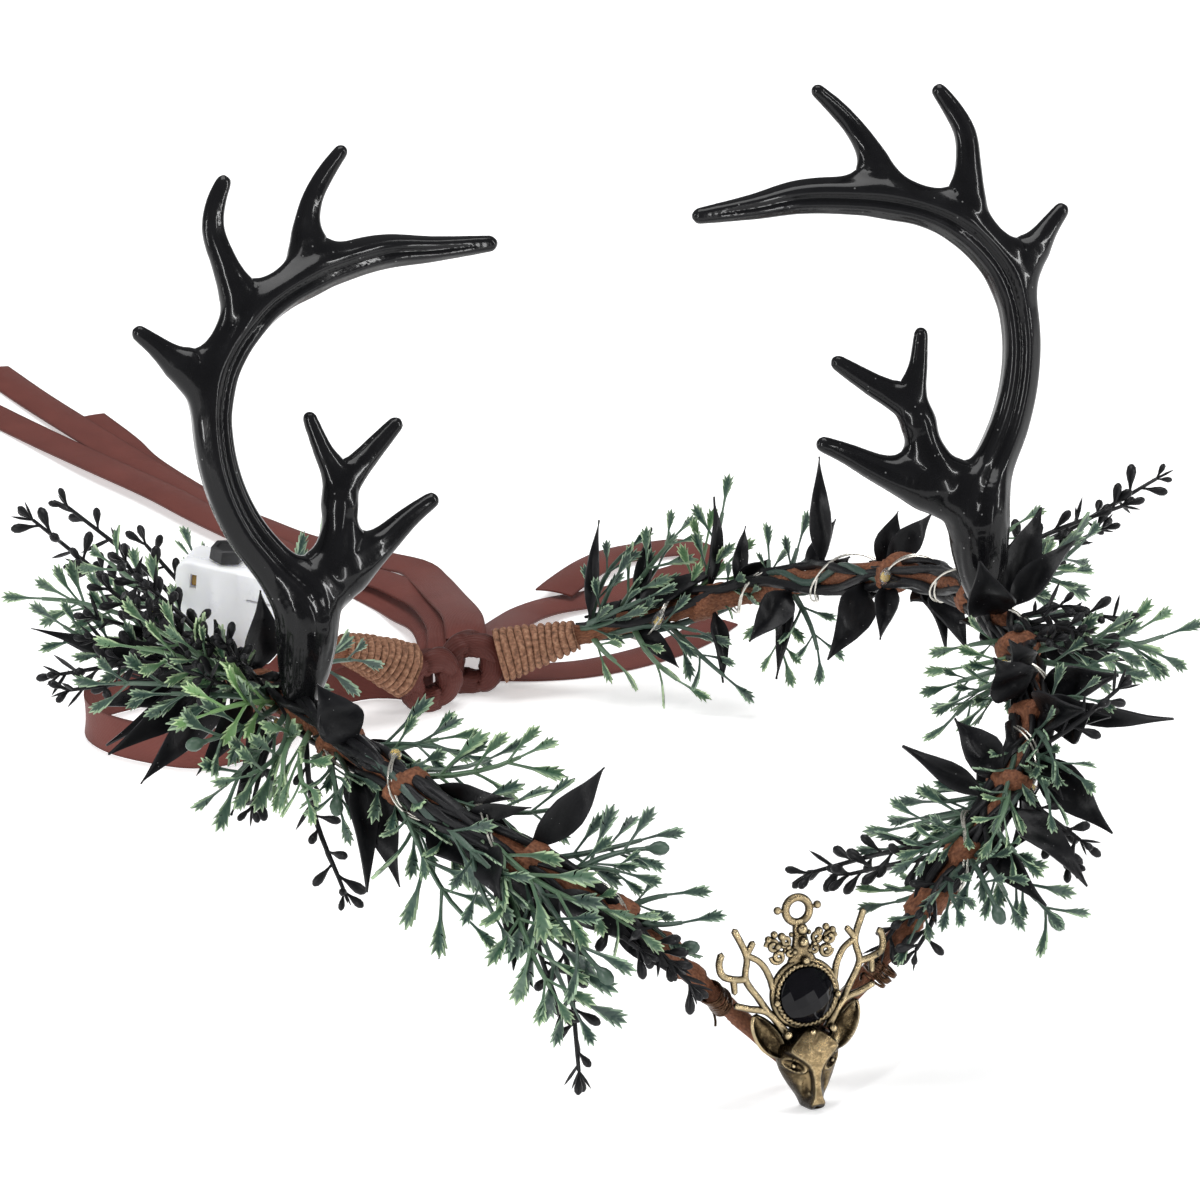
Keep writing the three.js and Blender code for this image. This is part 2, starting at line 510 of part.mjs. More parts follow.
// Frond: a stem with blades in pairs and one at its tip
function frond(foot, tip, grow) {
  const { stem, leaflet, leaflet_wide, thick, angle, pair_every } = FERN;
  const span = tip.clone().sub(foot);
  const axis = span.clone().normalize();
  const across = new THREE.Vector3().crossVectors(axis, squareTo(FACE, axis));
  const stemTip = foot.clone().addScaledVector(axis, span.length() - leaflet * 0.6);
  const stemRows = [foot, stemTip].map((at, i) => [...at.toArray(), stem * (1 - 0.3 * i)]);
  const parts = [limb(stemRows, { sides: 5, stepsPerRow: 1, facing: FACE, grow })];
  const endFoot = stemTip.clone().addScaledVector(axis, -stem);
  parts.push(blade(endFoot, axis, leaflet * 0.7 + 1, leaflet_wide, thick, FACE, grow));
  const pairs = Math.max(1, Math.round(span.length() / pair_every));
  for (let pair = 0; pair < pairs; pair += 1) {
    const start = foot.clone().lerp(stemTip, (pair + 0.55) / pairs);
    for (const turn of [angle, -angle].map(THREE.MathUtils.degToRad)) {
      const direction = axis.clone().multiplyScalar(Math.cos(turn)).addScaledVector(across, Math.sin(turn));
      parts.push(blade(start, direction, leaflet, leaflet_wide, thick, FACE, grow));
    }
  }
  return join(parts);
}

// Berry spray: a stem with drop-shaped berries set round it
function spray(foot, tip, grow) {
  const { stem, berry_long, berry_wide, berry_every } = SPRAY;
  const span = tip.clone().sub(foot);
  const axis = span.clone().normalize();
  const stemRows = [foot, tip].map((at, i) => [...at.toArray(), stem * (1 - 0.3 * i)]);
  const parts = [limb(stemRows, { sides: 5, stepsPerRow: 1, facing: FACE, grow })];
  const first = squareTo(FACE, axis);
  const second = new THREE.Vector3().crossVectors(axis, first);
  const count = Math.max(3, Math.round(span.length() / berry_every));
  for (let i = 0; i < count; i += 1) {
    const turn = i * 2.4;
    const outward = first.clone().multiplyScalar(Math.cos(turn)).addScaledVector(second, Math.sin(turn));
    const direction = axis.clone().multiplyScalar(0.75).addScaledVector(outward, 0.7).normalize();
    const at = foot.clone().lerp(tip, (i + 1) / (count + 0.6)).addScaledVector(direction, berry_long * 0.42);
    const across = squareTo(outward, direction);
    const through = new THREE.Vector3().crossVectors(direction, across);
    direction.multiplyScalar(berry_long / 2 + grow);
    across.multiplyScalar(berry_wide / 2 + grow);
    through.multiplyScalar(berry_wide / 2 + grow);
    parts.push(stretched(new THREE.OctahedronGeometry(1, 0), at, direction, across, through));
  }
  return join(parts);
}

// Lance-shaped leaf that bows a little towards its face
function leaf(foot, row, grow) {
  const tip = point(row);
  const wide = row[3];
  const span = tip.clone().sub(foot);
  const bow = squareTo(FACE, span.clone().normalize()).multiplyScalar(span.length() * 0.08);
  const shares = [[0, 0.22], [0.42, 1], [1, 0.1]];
  const rows = shares.map(([share, width]) => {
    const at = foot.clone().addScaledVector(span, share).addScaledVector(bow, Math.sin(Math.PI * share));
    return [...at.toArray(), wide * width, LEAF.thick];
  });
  return limb(rows, { sides: 4, stepsPerRow: 1, facing: FACE, grow: 1.4 * grow });
}

// Knob that joins the stems of a sprig where they leave the branch
function knob(foot, radius, grow) {
  return toSolid(new THREE.IcosahedronGeometry(radius + grow, 0).translate(...foot.toArray()));
}

function sprig(side, along, tips, stemMaker, grow) {
  const foot = sprigFoot(side, along, tips);
  return join([knob(foot, 1.2, grow), ...tips.map((tip) => stemMaker(foot, tip, grow))]);
}

function ribbon(lies, route, grow) {
  const { width, thick } = RIBBON;
  const [tall, wide] = lies === "flat" ? [thick, width] : [width, thick];
  const curve = smoothCurve(route);
  return drawn(flatSection(tall + 2 * grow, wide + 2 * grow), curve, Math.round(curve.getLength() / 11));
}

// Assembly: each piece is cut back from the pieces placed before it, so that a gap stays between them
const crown = new THREE.Group();
crown.position.set(-MIDDLE.x, -MIDDLE.y, 0);
const placed = [];

function boxOf(solid) {
  const { min, max } = solid.boundingBox();
  return new THREE.Box3(point(min), point(max));
}

function place(name, finish, make) {
  let solid = make(0);
  const box = boxOf(solid).expandByScalar(GAP);
  for (const other of placed) {
    if (other.box.intersectsBox(box)) solid = solid.subtract(other.grown);
  }
  const [body] = solid.decompose().sort((a, b) => b.volume() - a.volume());
  const mesh = new THREE.Mesh(toGeometry(body), new THREE.MeshStandardMaterial(FINISHES[finish]));
  mesh.name = name;
  crown.add(mesh);
  placed.push({ box, grown: make(GAP) });
}

for (const side of ["left", "right"]) {
  place(`branch_${side}`, "bark_tape", (grow) => branch(side, grow));
  place(`end_loop_${side}`, "ribbon_satin", (grow) => endLoop(side, grow));
  place(`end_binding_${side}`, "twine", (grow) => endBinding(side, grow));
  place(`antler_${side}`, "antler_black", (grow) => antler(side, grow));
}
place("pendant_stone", "black_stone", stone);
place("pendant", "bronze", charm);
place("battery_box", "box_plastic", batteryBox);
place("battery_button", "button_black", batteryButton);
place("light_wire", "silver_wire", lightWire);
for (const side of ["left", "right"]) place(`pendant_tie_${side}`, "tie_wire", (grow) => charmTie(side, grow));
for (const [name, lies, route] of RIBBONS) place(name, "ribbon_satin", (grow) => ribbon(lies, route, grow));

const counts = {};
function placeSprigs(kind, finish, rows, stemMaker) {
  for (const [side, along, tips] of rows) {
    const label = `${kind}_${side}`;
    counts[label] = (counts[label] ?? 0) + 1;
    place(`${label}_${counts[label]}`, finish, (grow) => sprig(side, along, tips, stemMaker, grow));
  }
}
placeSprigs("berry_spray", "leaf_black", SPRAYS, (foot, tip, grow) => spray(foot, point(tip), grow));
placeSprigs("leaf_sprig", "leaf_black", LEAF_SPRIGS, leaf);
placeSprigs("fern_sprig", "fern_green", FERNS, (foot, tip, grow) => frond(foot, point(tip), grow));

export default crown;
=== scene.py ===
# %% [markdown]
# # An antler crown
# A woodland crown lies on a white table. Two tape-wrapped wire branches form a
# ring that dips to a V at the brow, where a cast deer-head charm hangs. Two
# moulded antlers stand on the ring among ferns, berries and black leaves.
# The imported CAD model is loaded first, because every piece below takes its place
# from it. Each CAD node is then replaced by a piece with the real one's detail.

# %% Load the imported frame
import math
import random
from collections import namedtuple

import bmesh
import bpy
import numpy as np
from mathutils import Matrix, Vector, noise


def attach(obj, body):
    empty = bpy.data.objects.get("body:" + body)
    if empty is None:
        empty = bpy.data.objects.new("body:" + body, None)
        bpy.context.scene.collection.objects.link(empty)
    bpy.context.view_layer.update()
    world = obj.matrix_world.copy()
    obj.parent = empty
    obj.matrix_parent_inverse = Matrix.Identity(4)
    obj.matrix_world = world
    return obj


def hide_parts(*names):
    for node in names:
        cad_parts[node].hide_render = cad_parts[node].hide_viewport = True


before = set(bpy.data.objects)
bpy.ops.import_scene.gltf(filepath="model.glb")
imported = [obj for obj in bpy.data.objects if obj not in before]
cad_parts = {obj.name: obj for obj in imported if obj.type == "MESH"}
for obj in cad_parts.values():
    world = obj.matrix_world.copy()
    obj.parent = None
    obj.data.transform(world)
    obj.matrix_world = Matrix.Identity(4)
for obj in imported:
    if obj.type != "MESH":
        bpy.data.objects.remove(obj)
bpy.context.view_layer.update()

# %% [markdown]
# ## Units and small helpers
# The tables below keep the maker's own measure: millimetres from the middle of
# the brow. Blender works in metres from the middle of the whole crown, so one
# helper does the change and no table has to be rewritten. Two others turn a bmesh
# into mesh data and put an object into the scene.

# %% Millimetres to metres, meshes and objects
MM = 0.001
UP = Vector((0, 0, 1))
MIDDLE = Vector((7.5, -16.7, 0))
FACE = Vector((-0.32, -0.86, 0.4)).normalized()


def crown_spot(x, y, z):
    """A place of the maker's tables, in the frame's metres."""
    return (Vector((x, y, z)) - MIDDLE) * MM


def crown_rows(rows):
    """Table rows with their place in metres; any sizes after it stay in millimetres."""
    return [(*crown_spot(*row[:3]), *row[3:]) for row in rows]


def square_to(direction, axis):
    """The part of a direction that is square to an axis, as a unit vector."""
    return (direction - axis * direction.dot(axis)).normalized()


def mesh_from(bm, name):
    """Mesh data made from a bmesh, which is used up."""
    mesh = bpy.data.meshes.new(name)
    bm.to_mesh(mesh)
    bm.free()
    return mesh


def put_object(name, data):
    """An object linked into the scene."""
    thing = bpy.data.objects.new(name, data)
    bpy.context.scene.collection.objects.link(thing)
    return thing


print("brow middle, metres:", [round(x, 4) for x in crown_spot(0, 0, 0)])

# %% [markdown]
# ## The camera
# The picture was taken from a little to the left and above, from far enough away
# that the crown hardly narrows towards the back. A long lens gives the same look.
# With the camera known, a pixel can also be turned back into a place: the tips of
# leaves and fronds are set that way, level with the branch that carries them.

# %% Camera at the photograph's viewing angle
PHOTO_SIZE = 1200
PIXELS_PER_MM = 4.4
SENSOR = 36.0
VIEW = {"azimuth": -20.5, "elevation": 23.3, "distance": 1800.0}
TARGET = crown_spot(0, 0, 66.3)
FOCAL_PIXELS = PIXELS_PER_MM * VIEW["distance"]

swing, lift = math.radians(VIEW["azimuth"]), math.radians(VIEW["elevation"])
VIEW_RIGHT = Vector((math.cos(swing), math.sin(swing), 0))
VIEW_BACK = Vector(
    (math.sin(swing) * math.cos(lift), -math.cos(swing) * math.cos(lift), math.sin(lift))
)
VIEW_UP = VIEW_BACK.cross(VIEW_RIGHT)
EYE = TARGET + VIEW_BACK * VIEW["distance"] * MM

lens = bpy.data.cameras.new("camera")
lens.sensor_width = SENSOR
lens.lens = SENSOR * FOCAL_PIXELS / PHOTO_SIZE
lens.clip_end = 50
camera = put_object("camera", lens)
camera.matrix_world = Matrix((VIEW_RIGHT, VIEW_UP, VIEW_BACK)).transposed().to_4x4()
camera.location = EYE
bpy.context.scene.camera = camera


def photo_spot(px, py, foot, toward):
    """The place seen at a pixel, as deep as a foot, or some millimetres nearer the camera."""
    half = PHOTO_SIZE / 2
    ray = VIEW_RIGHT * ((px - half) / FOCAL_PIXELS) + VIEW_UP * ((half - py) / FOCAL_PIXELS) - VIEW_BACK
    return EYE + ray * ((EYE - foot).dot(VIEW_BACK) - toward * MM)


print("lens, mm:", round(lens.lens, 1))

# %% [markdown]
# ## Smooth routes
# Branches, ribbons, tines and stems are all long thin things that follow a line.
# A centripetal curve goes through every point of its table without loops or
# overshoot. The curve is sampled finely once, and is then read by distance.

# %% A curve that is read by distance
Ring = namedtuple("Ring", "at along out side size share run")


class Route:
    """Smooth curve through rows of x, y, z in metres and any sizes in millimetres."""

    FINE = 24

    def __init__(self, rows):
        rows = [np.array(row, float) for row in rows]
        rows = [2 * rows[0] - rows[1], *rows, 2 * rows[-1] - rows[-2]]
        spans = [self.span(*four) for four in zip(rows, rows[1:], rows[2:], rows[3:])]
        self.fine = np.vstack([*spans, rows[-2][None]])
        steps = np.linalg.norm(np.diff(self.fine[:, :3], axis=0), axis=1)
        self.run = np.concatenate([[0.0], np.cumsum(steps)]) / MM
        self.length = float(self.run[-1])

    def span(self, a, b, c, d):
        gaps = [max(np.linalg.norm((q - p)[:3]) ** 0.5, 1e-4) for p, q in ((a, b), (b, c), (c, d))]
        first, middle, last = gaps
        leave = middle * ((b - a) / first - (c - a) / (first + middle)) + (c - b)
        arrive = middle * ((d - c) / last - (d - b) / (middle + last)) + (c - b)
        t = np.linspace(0, 1, self.FINE, endpoint=False)[:, None]
        bend = 3 * (c - b) - 2 * leave - arrive
        return b + leave * t + bend * t**2 + (2 * (b - c) + leave + arrive) * t**3

    def row(self, run):
        return np.array([np.interp(run, self.run, column) for column in self.fine.T])

    def place(self, run, reach=0.4):
        """Centre and direction some millimetres along the route."""
        before, after = (self.row(min(max(run + step, 0), self.length))[:3] for step in (-reach, reach))
        return Vector(self.row(run)[:3]), Vector(after - before).normalized()


def rings_along(route, count, facing=UP, start=0, end=None):
    """Evenly spaced rings down a route or a stretch of it, with two directions square to it."""
    end = route.length if end is None else end
    rings = []
    for share in np.linspace(0, 1, count):
        run = start + (end - start) * share
        at, along = route.place(run)
        out = square_to(facing, along)
        rings.append(Ring(at, along, out, along.cross(out), route.row(run)[3:], share, run))
    return rings


ROUTE_POINTS = {
    "left": [
        (-7.5, 97, 7.4), (-30, 95, 20), (-60, 78, 31), (-81.4, 22.3, 52), (-83, -31, 64.5),
        (-67, -91, 62), (-40, -116.5, 46), (-0.3, -119, 5),
    ],
    "right": [
        (5.5, 103, 7.4), (31, 95, 14.5), (60, 80, 25), (81.4, 22.3, 52), (83, -31, 64.5), (67, -91, 62),
        (40, -116.5, 46), (0.3, -119, 5),
    ],
}
BRANCHES = {side: Route(crown_rows(rows)) for side, rows in ROUTE_POINTS.items()}
for side, route in BRANCHES.items():
    print("branch", side, round(route.length, 1), "mm")

# %% [markdown]
# ## Table, world and light
# The crown was photographed on pure white with hardly a shadow. A wide white floor
# that glows like a light table gives that, with one large lamp above. Tall narrow
# lamps at the sides draw thin bright lines along the glossy antlers. The sky stays
# dim, or every black surface would turn grey. The Standard view keeps white white.

# %% Sky and studio lamps
LAMPS = [  # name, place in metres, width and height in metres, watts
    ("lamp_left", (-1.5, -1.0, 0.8), (0.11, 1.2), 15.0),
    ("lamp_right", (1.45, -0.75, 0.75), (0.11, 1.2), 12.0),
    ("lamp_top", (0.1, 0.4, 1.9), (1.5, 1.1), 25.0),
    ("lamp_front", (0.55, -1.5, 0.45), (0.1, 0.8), 5.0),
    ("lamp_edge", (-1.7, 0.35, 0.7), (0.11, 1.0), 8.0),
]
SKY_STRENGTH = 0.17
TABLE_GLOW = 0.42  # a light table fills the shadows from below
FLOOR_HALF = 6.0

bpy.context.scene.view_settings.view_transform = "Standard"
sky = bpy.data.worlds.new("sky")
sky.use_nodes = True
sky.node_tree.nodes["Background"].inputs["Color"].default_value = (0.97, 0.98, 1.0, 1)
sky.node_tree.nodes["Background"].inputs["Strength"].default_value = SKY_STRENGTH
bpy.context.scene.world = sky

for name, place, (wide, tall), watts in LAMPS:
    glow = bpy.data.lights.new(name, "AREA")
    glow.shape, glow.size, glow.size_y, glow.energy = "RECTANGLE", wide, tall, watts
    lamp = put_object(name, glow)
    lamp.location = place
    lamp.rotation_mode = "QUATERNION"
    lamp.rotation_quaternion = (TARGET - Vector(place)).to_track_quat("-Z", "Y")
print("lamps:", len(LAMPS))

# %% [markdown]
# ## Helpers for nodes
# Materials are wired in code, and small helpers keep that readable. One adds a node
# and fills or links its sockets. Others make ramps and blends, start a group or a
# material, and feed a colour, a roughness and a height into its shader.

# %% Node helpers
def add_node(tree, kind, settings=None, inputs=None):
    """Adds a shader node; an input is a plain value or another node's output."""
    node = tree.nodes.new("ShaderNode" + kind)
    for name, value in (settings or {}).items():
        setattr(node, name, value)
    for key, value in (inputs or {}).items():
        if isinstance(value, bpy.types.NodeSocket):
            tree.links.new(value, node.inputs[key])
        else:
            node.inputs[key].default_value = value
    return node


def ramp(tree, value, stops):
    """Grey or coloured steps over a value: a list of place and grey or colour."""
    node = add_node(tree, "ValToRGB", inputs={"Fac": value})
    steps = node.color_ramp.elements
    while len(steps) < len(stops):
        steps.new(0.5)
    for step, (place, shade) in zip(steps, stops):
        step.position = place
        step.color = (*shade, 1) if hasattr(shade, "__len__") else (shade, shade, shade, 1)
    return node.outputs["Color"]


def mix(tree, share, first, second):
    """Blend of two colours by a share."""
    values = {0: share}
    for key, colour in ((6, first), (7, second)):
        values[key] = colour if isinstance(colour, bpy.types.NodeSocket) else (*colour, 1)
    return add_node(tree, "Mix", {"data_type": "RGBA"}, values).outputs[2]


def multiply(tree, share, colour, shade):
    """A colour darkened by a second one, by a share."""
    settings = {"data_type": "RGBA", "blend_type": "MULTIPLY"}
    return add_node(tree, "Mix", settings, {0: share, 6: colour, 7: shade}).outputs[2]


def math_node(tree, operation, first, second):
    """The result of one sum on two values."""
    return add_node(tree, "Math", {"operation": operation}, {0: first, 1: second}).outputs[0]


def start_group(name, inputs, outputs):
    """An empty shader group with its sockets, and its two end nodes."""
    tree = bpy.data.node_groups.new(name, "ShaderNodeTree")
    for title, kind, value in inputs:
        tree.interface.new_socket(title, in_out="INPUT", socket_type=kind).default_value = value
    for title in outputs:
        tree.interface.new_socket(title, in_out="OUTPUT", socket_type="NodeSocketFloat")
    return tree, tree.nodes.new("NodeGroupInput"), tree.nodes.new("NodeGroupOutput")


def place_group(tree, group, inputs):
    """Adds a group with its values set, and hands on its outputs."""
    node = tree.nodes.new("ShaderNodeGroup")
    node.node_tree = group
    for key, value in inputs.items():
        node.inputs[key].default_value = value
    return node.outputs


def start_material(name, values):
    """A material with one Principled shader, its even values set on the sockets."""
    material = bpy.data.materials.new(name)
    material.use_nodes = True
    shader = material.node_tree.nodes["Principled BSDF"]
    for socket, value in values.items():
        shader.inputs[socket].default_value = value
    return material, material.node_tree, shader


def paint(tree, shader, colour, rough):
    """Feeds a colour and a roughness into a shader."""
    tree.links.new(colour, shader.inputs["Base Color"])
    tree.links.new(rough, shader.inputs["Roughness"])


def relief(tree, shader, height, distance, strength=1.0):
    """Feeds a height in through a Bump node; the distance is in metres."""
    inputs = {"Height": height, "Distance": distance, "Strength": strength}
    tree.links.new(add_node(tree, "Bump", inputs=inputs).outputs[0], shader.inputs["Normal"])


# %% [markdown]
# ## Shared finishes
# Three effects turn up on many pieces, so each is a group that is built once.
# Mottle is cloudy variation with a stretch, for tape, resin and plastic. Dust is
# fine pale specks, which black leaves and resin always show. The edge masks find
# edges and hollows from the bend of the surface: for rubbed bronze and resin, and for
# painted highlights on fern edges and painted shade in the grooves of twine. Small
# plain things such as wire need no more than the mottle, so one helper makes those.

# %% Mottle, dust, and edge masks for wear and painted light
VALUE, ARROW = "NodeSocketFloat", "NodeSocketVector"


def make_mottle():
    tree, inner, outer = start_group(
        "mottle", [("Scale", VALUE, 200.0), ("Stretch", ARROW, (1, 1, 1))], ["Shade", "Grain"]
    )
    place = add_node(tree, "TexCoord").outputs["Object"]
    mapped = add_node(tree, "Mapping", inputs={"Vector": place, "Scale": inner.outputs["Stretch"]})
    fine = math_node(tree, "MULTIPLY", inner.outputs["Scale"], 5.0)
    for scale, title in ((inner.outputs["Scale"], "Shade"), (fine, "Grain")):
        inputs = {"Vector": mapped.outputs[0], "Scale": scale, "Detail": 5.0, "Roughness": 0.6}
        cloud = add_node(tree, "TexNoise", inputs=inputs)
        tree.links.new(cloud.outputs["Fac"], outer.inputs[title])
    return tree


def make_dust():
    tree, inner, outer = start_group(
        "dust", [("Scale", VALUE, 900.0), ("Size", VALUE, 0.16), ("Amount", VALUE, 0.2)], ["Mask"]
    )
    place = add_node(tree, "TexCoord").outputs["Object"]
    cells = add_node(tree, "TexVoronoi", inputs={"Vector": place, "Scale": inner.outputs["Scale"]})
    chance = add_node(tree, "SeparateColor", inputs={"Color": cells.outputs["Color"]}).outputs[0]
    small = math_node(tree, "LESS_THAN", cells.outputs["Distance"], inner.outputs["Size"])
    kept = math_node(tree, "LESS_THAN", chance, inner.outputs["Amount"])
    tree.links.new(math_node(tree, "MULTIPLY", small, kept), outer.inputs["Mask"])
    return tree


# Edge and hollow masks: rubbed wear on some pieces, painted highlight or painted shade on others
def make_wear_and_light_edges():
    tree, inner, outer = start_group("edge masks for wear and painted light", [("Spread", VALUE, 0.04)], ["Edge", "Hollow"])
    bend = add_node(tree, "NewGeometry").outputs["Pointiness"]
    lifted = math_node(tree, "SUBTRACT", bend, 0.5)
    share = math_node(tree, "DIVIDE", lifted, inner.outputs["Spread"])
    for title, sign in (("Edge", 1.0), ("Hollow", -1.0)):
        turned = add_node(
            tree, "Math", {"operation": "MULTIPLY", "use_clamp": True}, {0: share, 1: sign}
        )
        tree.links.new(turned.outputs[0], outer.inputs[title])
    return tree


MOTTLE, DUST, WEAR_AND_LIGHT_EDGES = make_mottle(), make_dust(), make_wear_and_light_edges()


def cloudy_material(name, values, scale, colours, rough, rough_from="Shade"):
    """A material whose colour and roughness drift with the mottle, each between two ends."""
    material, tree, shader = start_material(name, values)
    cloud = place_group(tree, MOTTLE, {"Scale": scale})
    smooth, coarse = rough
    paint(
        tree, shader, mix(tree, cloud["Shade"], *colours),
        ramp(tree, cloud[rough_from], [(0.3, smooth), (0.7, coarse)]),
    )
    return material


print("shared finishes:", MOTTLE.name, DUST.name, WEAR_AND_LIGHT_EDGES.name)

# %% The floor's own finish
floor_mesh = bmesh.new()
bmesh.ops.create_grid(floor_mesh, x_segments=4, y_segments=4, size=FLOOR_HALF)
floor = put_object("floor", mesh_from(floor_mesh, "floor"))

white, tree, shader = start_material(
    "white table", {"Roughness": 0.7, "Specular IOR Level": 0.2, "Emission Strength": TABLE_GLOW}
)
shade = place_group(tree, MOTTLE, {"Scale": 6.0})["Shade"]
paper = mix(tree, shade, (0.93, 0.93, 0.93), (0.96, 0.96, 0.96))
tree.links.new(paper, shader.inputs["Base Color"])
tree.links.new(paper, shader.inputs["Emission Color"])
floor.data.materials.append(white)
print("floor is", 2 * FLOOR_HALF, "m wide")

# %% [markdown]
# ## Rolling a sheet into a tube
# Most pieces are tubes of changing section. A flat grid is rolled up round the
# rings of a route, its seam is welded, and open ends are filled. A ring whose
# section shrinks to nothing closes to a point. The map runs once round the tube
# and in millimetres along it, so tape, twine and satin can follow the surface.

# %% Rolled tubes and finished pieces
WELD = 1e-6


def join_into(target, part):
    """Adds one bmesh to another."""
    mesh = mesh_from(part, "part")
    target.from_mesh(mesh)
    bpy.data.meshes.remove(mesh)


def close_up(part):
    """Welds a seam, fills open ends and turns the faces outwards."""
    bmesh.ops.remove_doubles(part, verts=part.verts, dist=WELD)
    rims = [edge for edge in part.edges if edge.is_boundary]
    if rims:
        bmesh.ops.holes_fill(part, edges=rims)
    bmesh.ops.recalc_face_normals(part, faces=part.faces)


def soften(part, factor):
    """Smooths the points of a bmesh once, in every direction."""
    axes = {"use_axis_x": True, "use_axis_y": True, "use_axis_z": True}
    bmesh.ops.smooth_vert(part, verts=part.verts, factor=factor, **axes)


def round_edges(part, edges, offset, segments):
    """Rounds edges with a bevel."""
    bmesh.ops.bevel(
        part, geom=edges, offset=offset, affect="EDGES", segments=segments, profile=0.5, material=-1
    )


def add_block(part, shape, edge):
    """A block with rounded edges; the shape holds its place, turn and size."""
    corners = bmesh.ops.create_cube(part, size=1.0, matrix=shape)["verts"]
    round_edges(part, list({side for corner in corners for side in corner.link_edges}), edge, 2)


def roll_tube(target, rings, around, section):
    """A grid rolled round rings; section(turn, ring) is the skin's place out and aside, in mm."""
    part = bmesh.new()
    chart = part.loops.layers.uv.new("UVMap")
    last = len(rings) - 1
    bmesh.ops.create_grid(part, x_segments=around, y_segments=last, size=1.0, calc_uvs=True)
    for face in part.faces:
        for loop in face.loops:
            u, v = loop[chart].uv
            loop[chart].uv = (u, rings[0].run + v * (rings[-1].run - rings[0].run))
    for corner in part.verts:
        ring = rings[round((corner.co.y + 1) / 2 * last)]
        out, aside = section((corner.co.x + 1) * math.pi, ring)
        corner.co = ring.at + (ring.out * out + ring.side * aside) * MM
    close_up(part)
    join_into(target, part)


def round_section(radius):
    """Section of a round tube; the radius is a number or is worked out from turn and ring."""
    def section(turn, ring):
        reach = radius(turn, ring) if callable(radius) else radius
        return reach * math.cos(turn), reach * math.sin(turn)
    return section


def finish_piece(name, bm, material, nodes=(), crease=50):
    """A finished object: smooth shading with sharp edges kept, its material and body, and its CAD nodes
    hidden.
    """
    mesh = mesh_from(bm, name)
    mesh.shade_smooth()
    mesh.set_sharp_from_angle(angle=math.radians(crease))
    mesh.materials.append(material)
    piece = put_object(name, mesh)
    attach(piece, "root")
    if nodes:
        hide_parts(*nodes)
    print(name, len(mesh.polygons), "faces")
    return piece


# %% [markdown]
# ## Satin ribbons
# The ties are 10 mm satin ribbon in a reddish brown. Most lie flat on the table, and
# the left loop stands on edge. Each is a narrow grid laid along its route, cupped a
# little as pressed ribbon is, and given its thin cloth thickness. The routes repeat
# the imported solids' points, because the ribbons are measured against them.

# %% Ribbon satin
def make_satin(name, dark, pale):
    """Satin weave: threads along the ribbon, a darker selvedge and a cloudy warm brown."""
    material, tree, shader = start_material(
        name, {"Sheen Weight": 0.05, "Sheen Roughness": 0.4, "Specular IOR Level": 0.2}
    )
    chart = add_node(tree, "UVMap", {"uv_map": "UVMap"}).outputs["UV"]
    across = add_node(tree, "SeparateXYZ", inputs={"Vector": chart}).outputs[0]
    threads = add_node(
        tree, "TexWave", {"wave_type": "BANDS", "bands_direction": "X", "wave_profile": "SIN"},
        {"Vector": chart, "Scale": 9.0, "Distortion": 0.6, "Detail": 2.0, "Detail Scale": 2.0},
    ).outputs["Fac"]
    cloud = place_group(tree, MOTTLE, {"Scale": 90.0})
    selvedge = ramp(tree, across, [(0.0, 0.35), (0.07, 0.9), (0.5, 1.0), (0.93, 0.9), (1.0, 0.35)])
    warm = mix(tree, cloud["Shade"], dark, pale)
    paint(
        tree, shader, multiply(tree, 0.6, warm, selvedge),
        ramp(tree, threads, [(0.0, 0.46), (1.0, 0.6)]),
    )
    relief(tree, shader, math_node(tree, "ADD", threads, cloud["Grain"]), 0.00008, 0.7)
    return material


satin = make_satin("ribbon satin", (0.112, 0.031, 0.025), (0.195, 0.056, 0.044))
print("material:", satin.name)

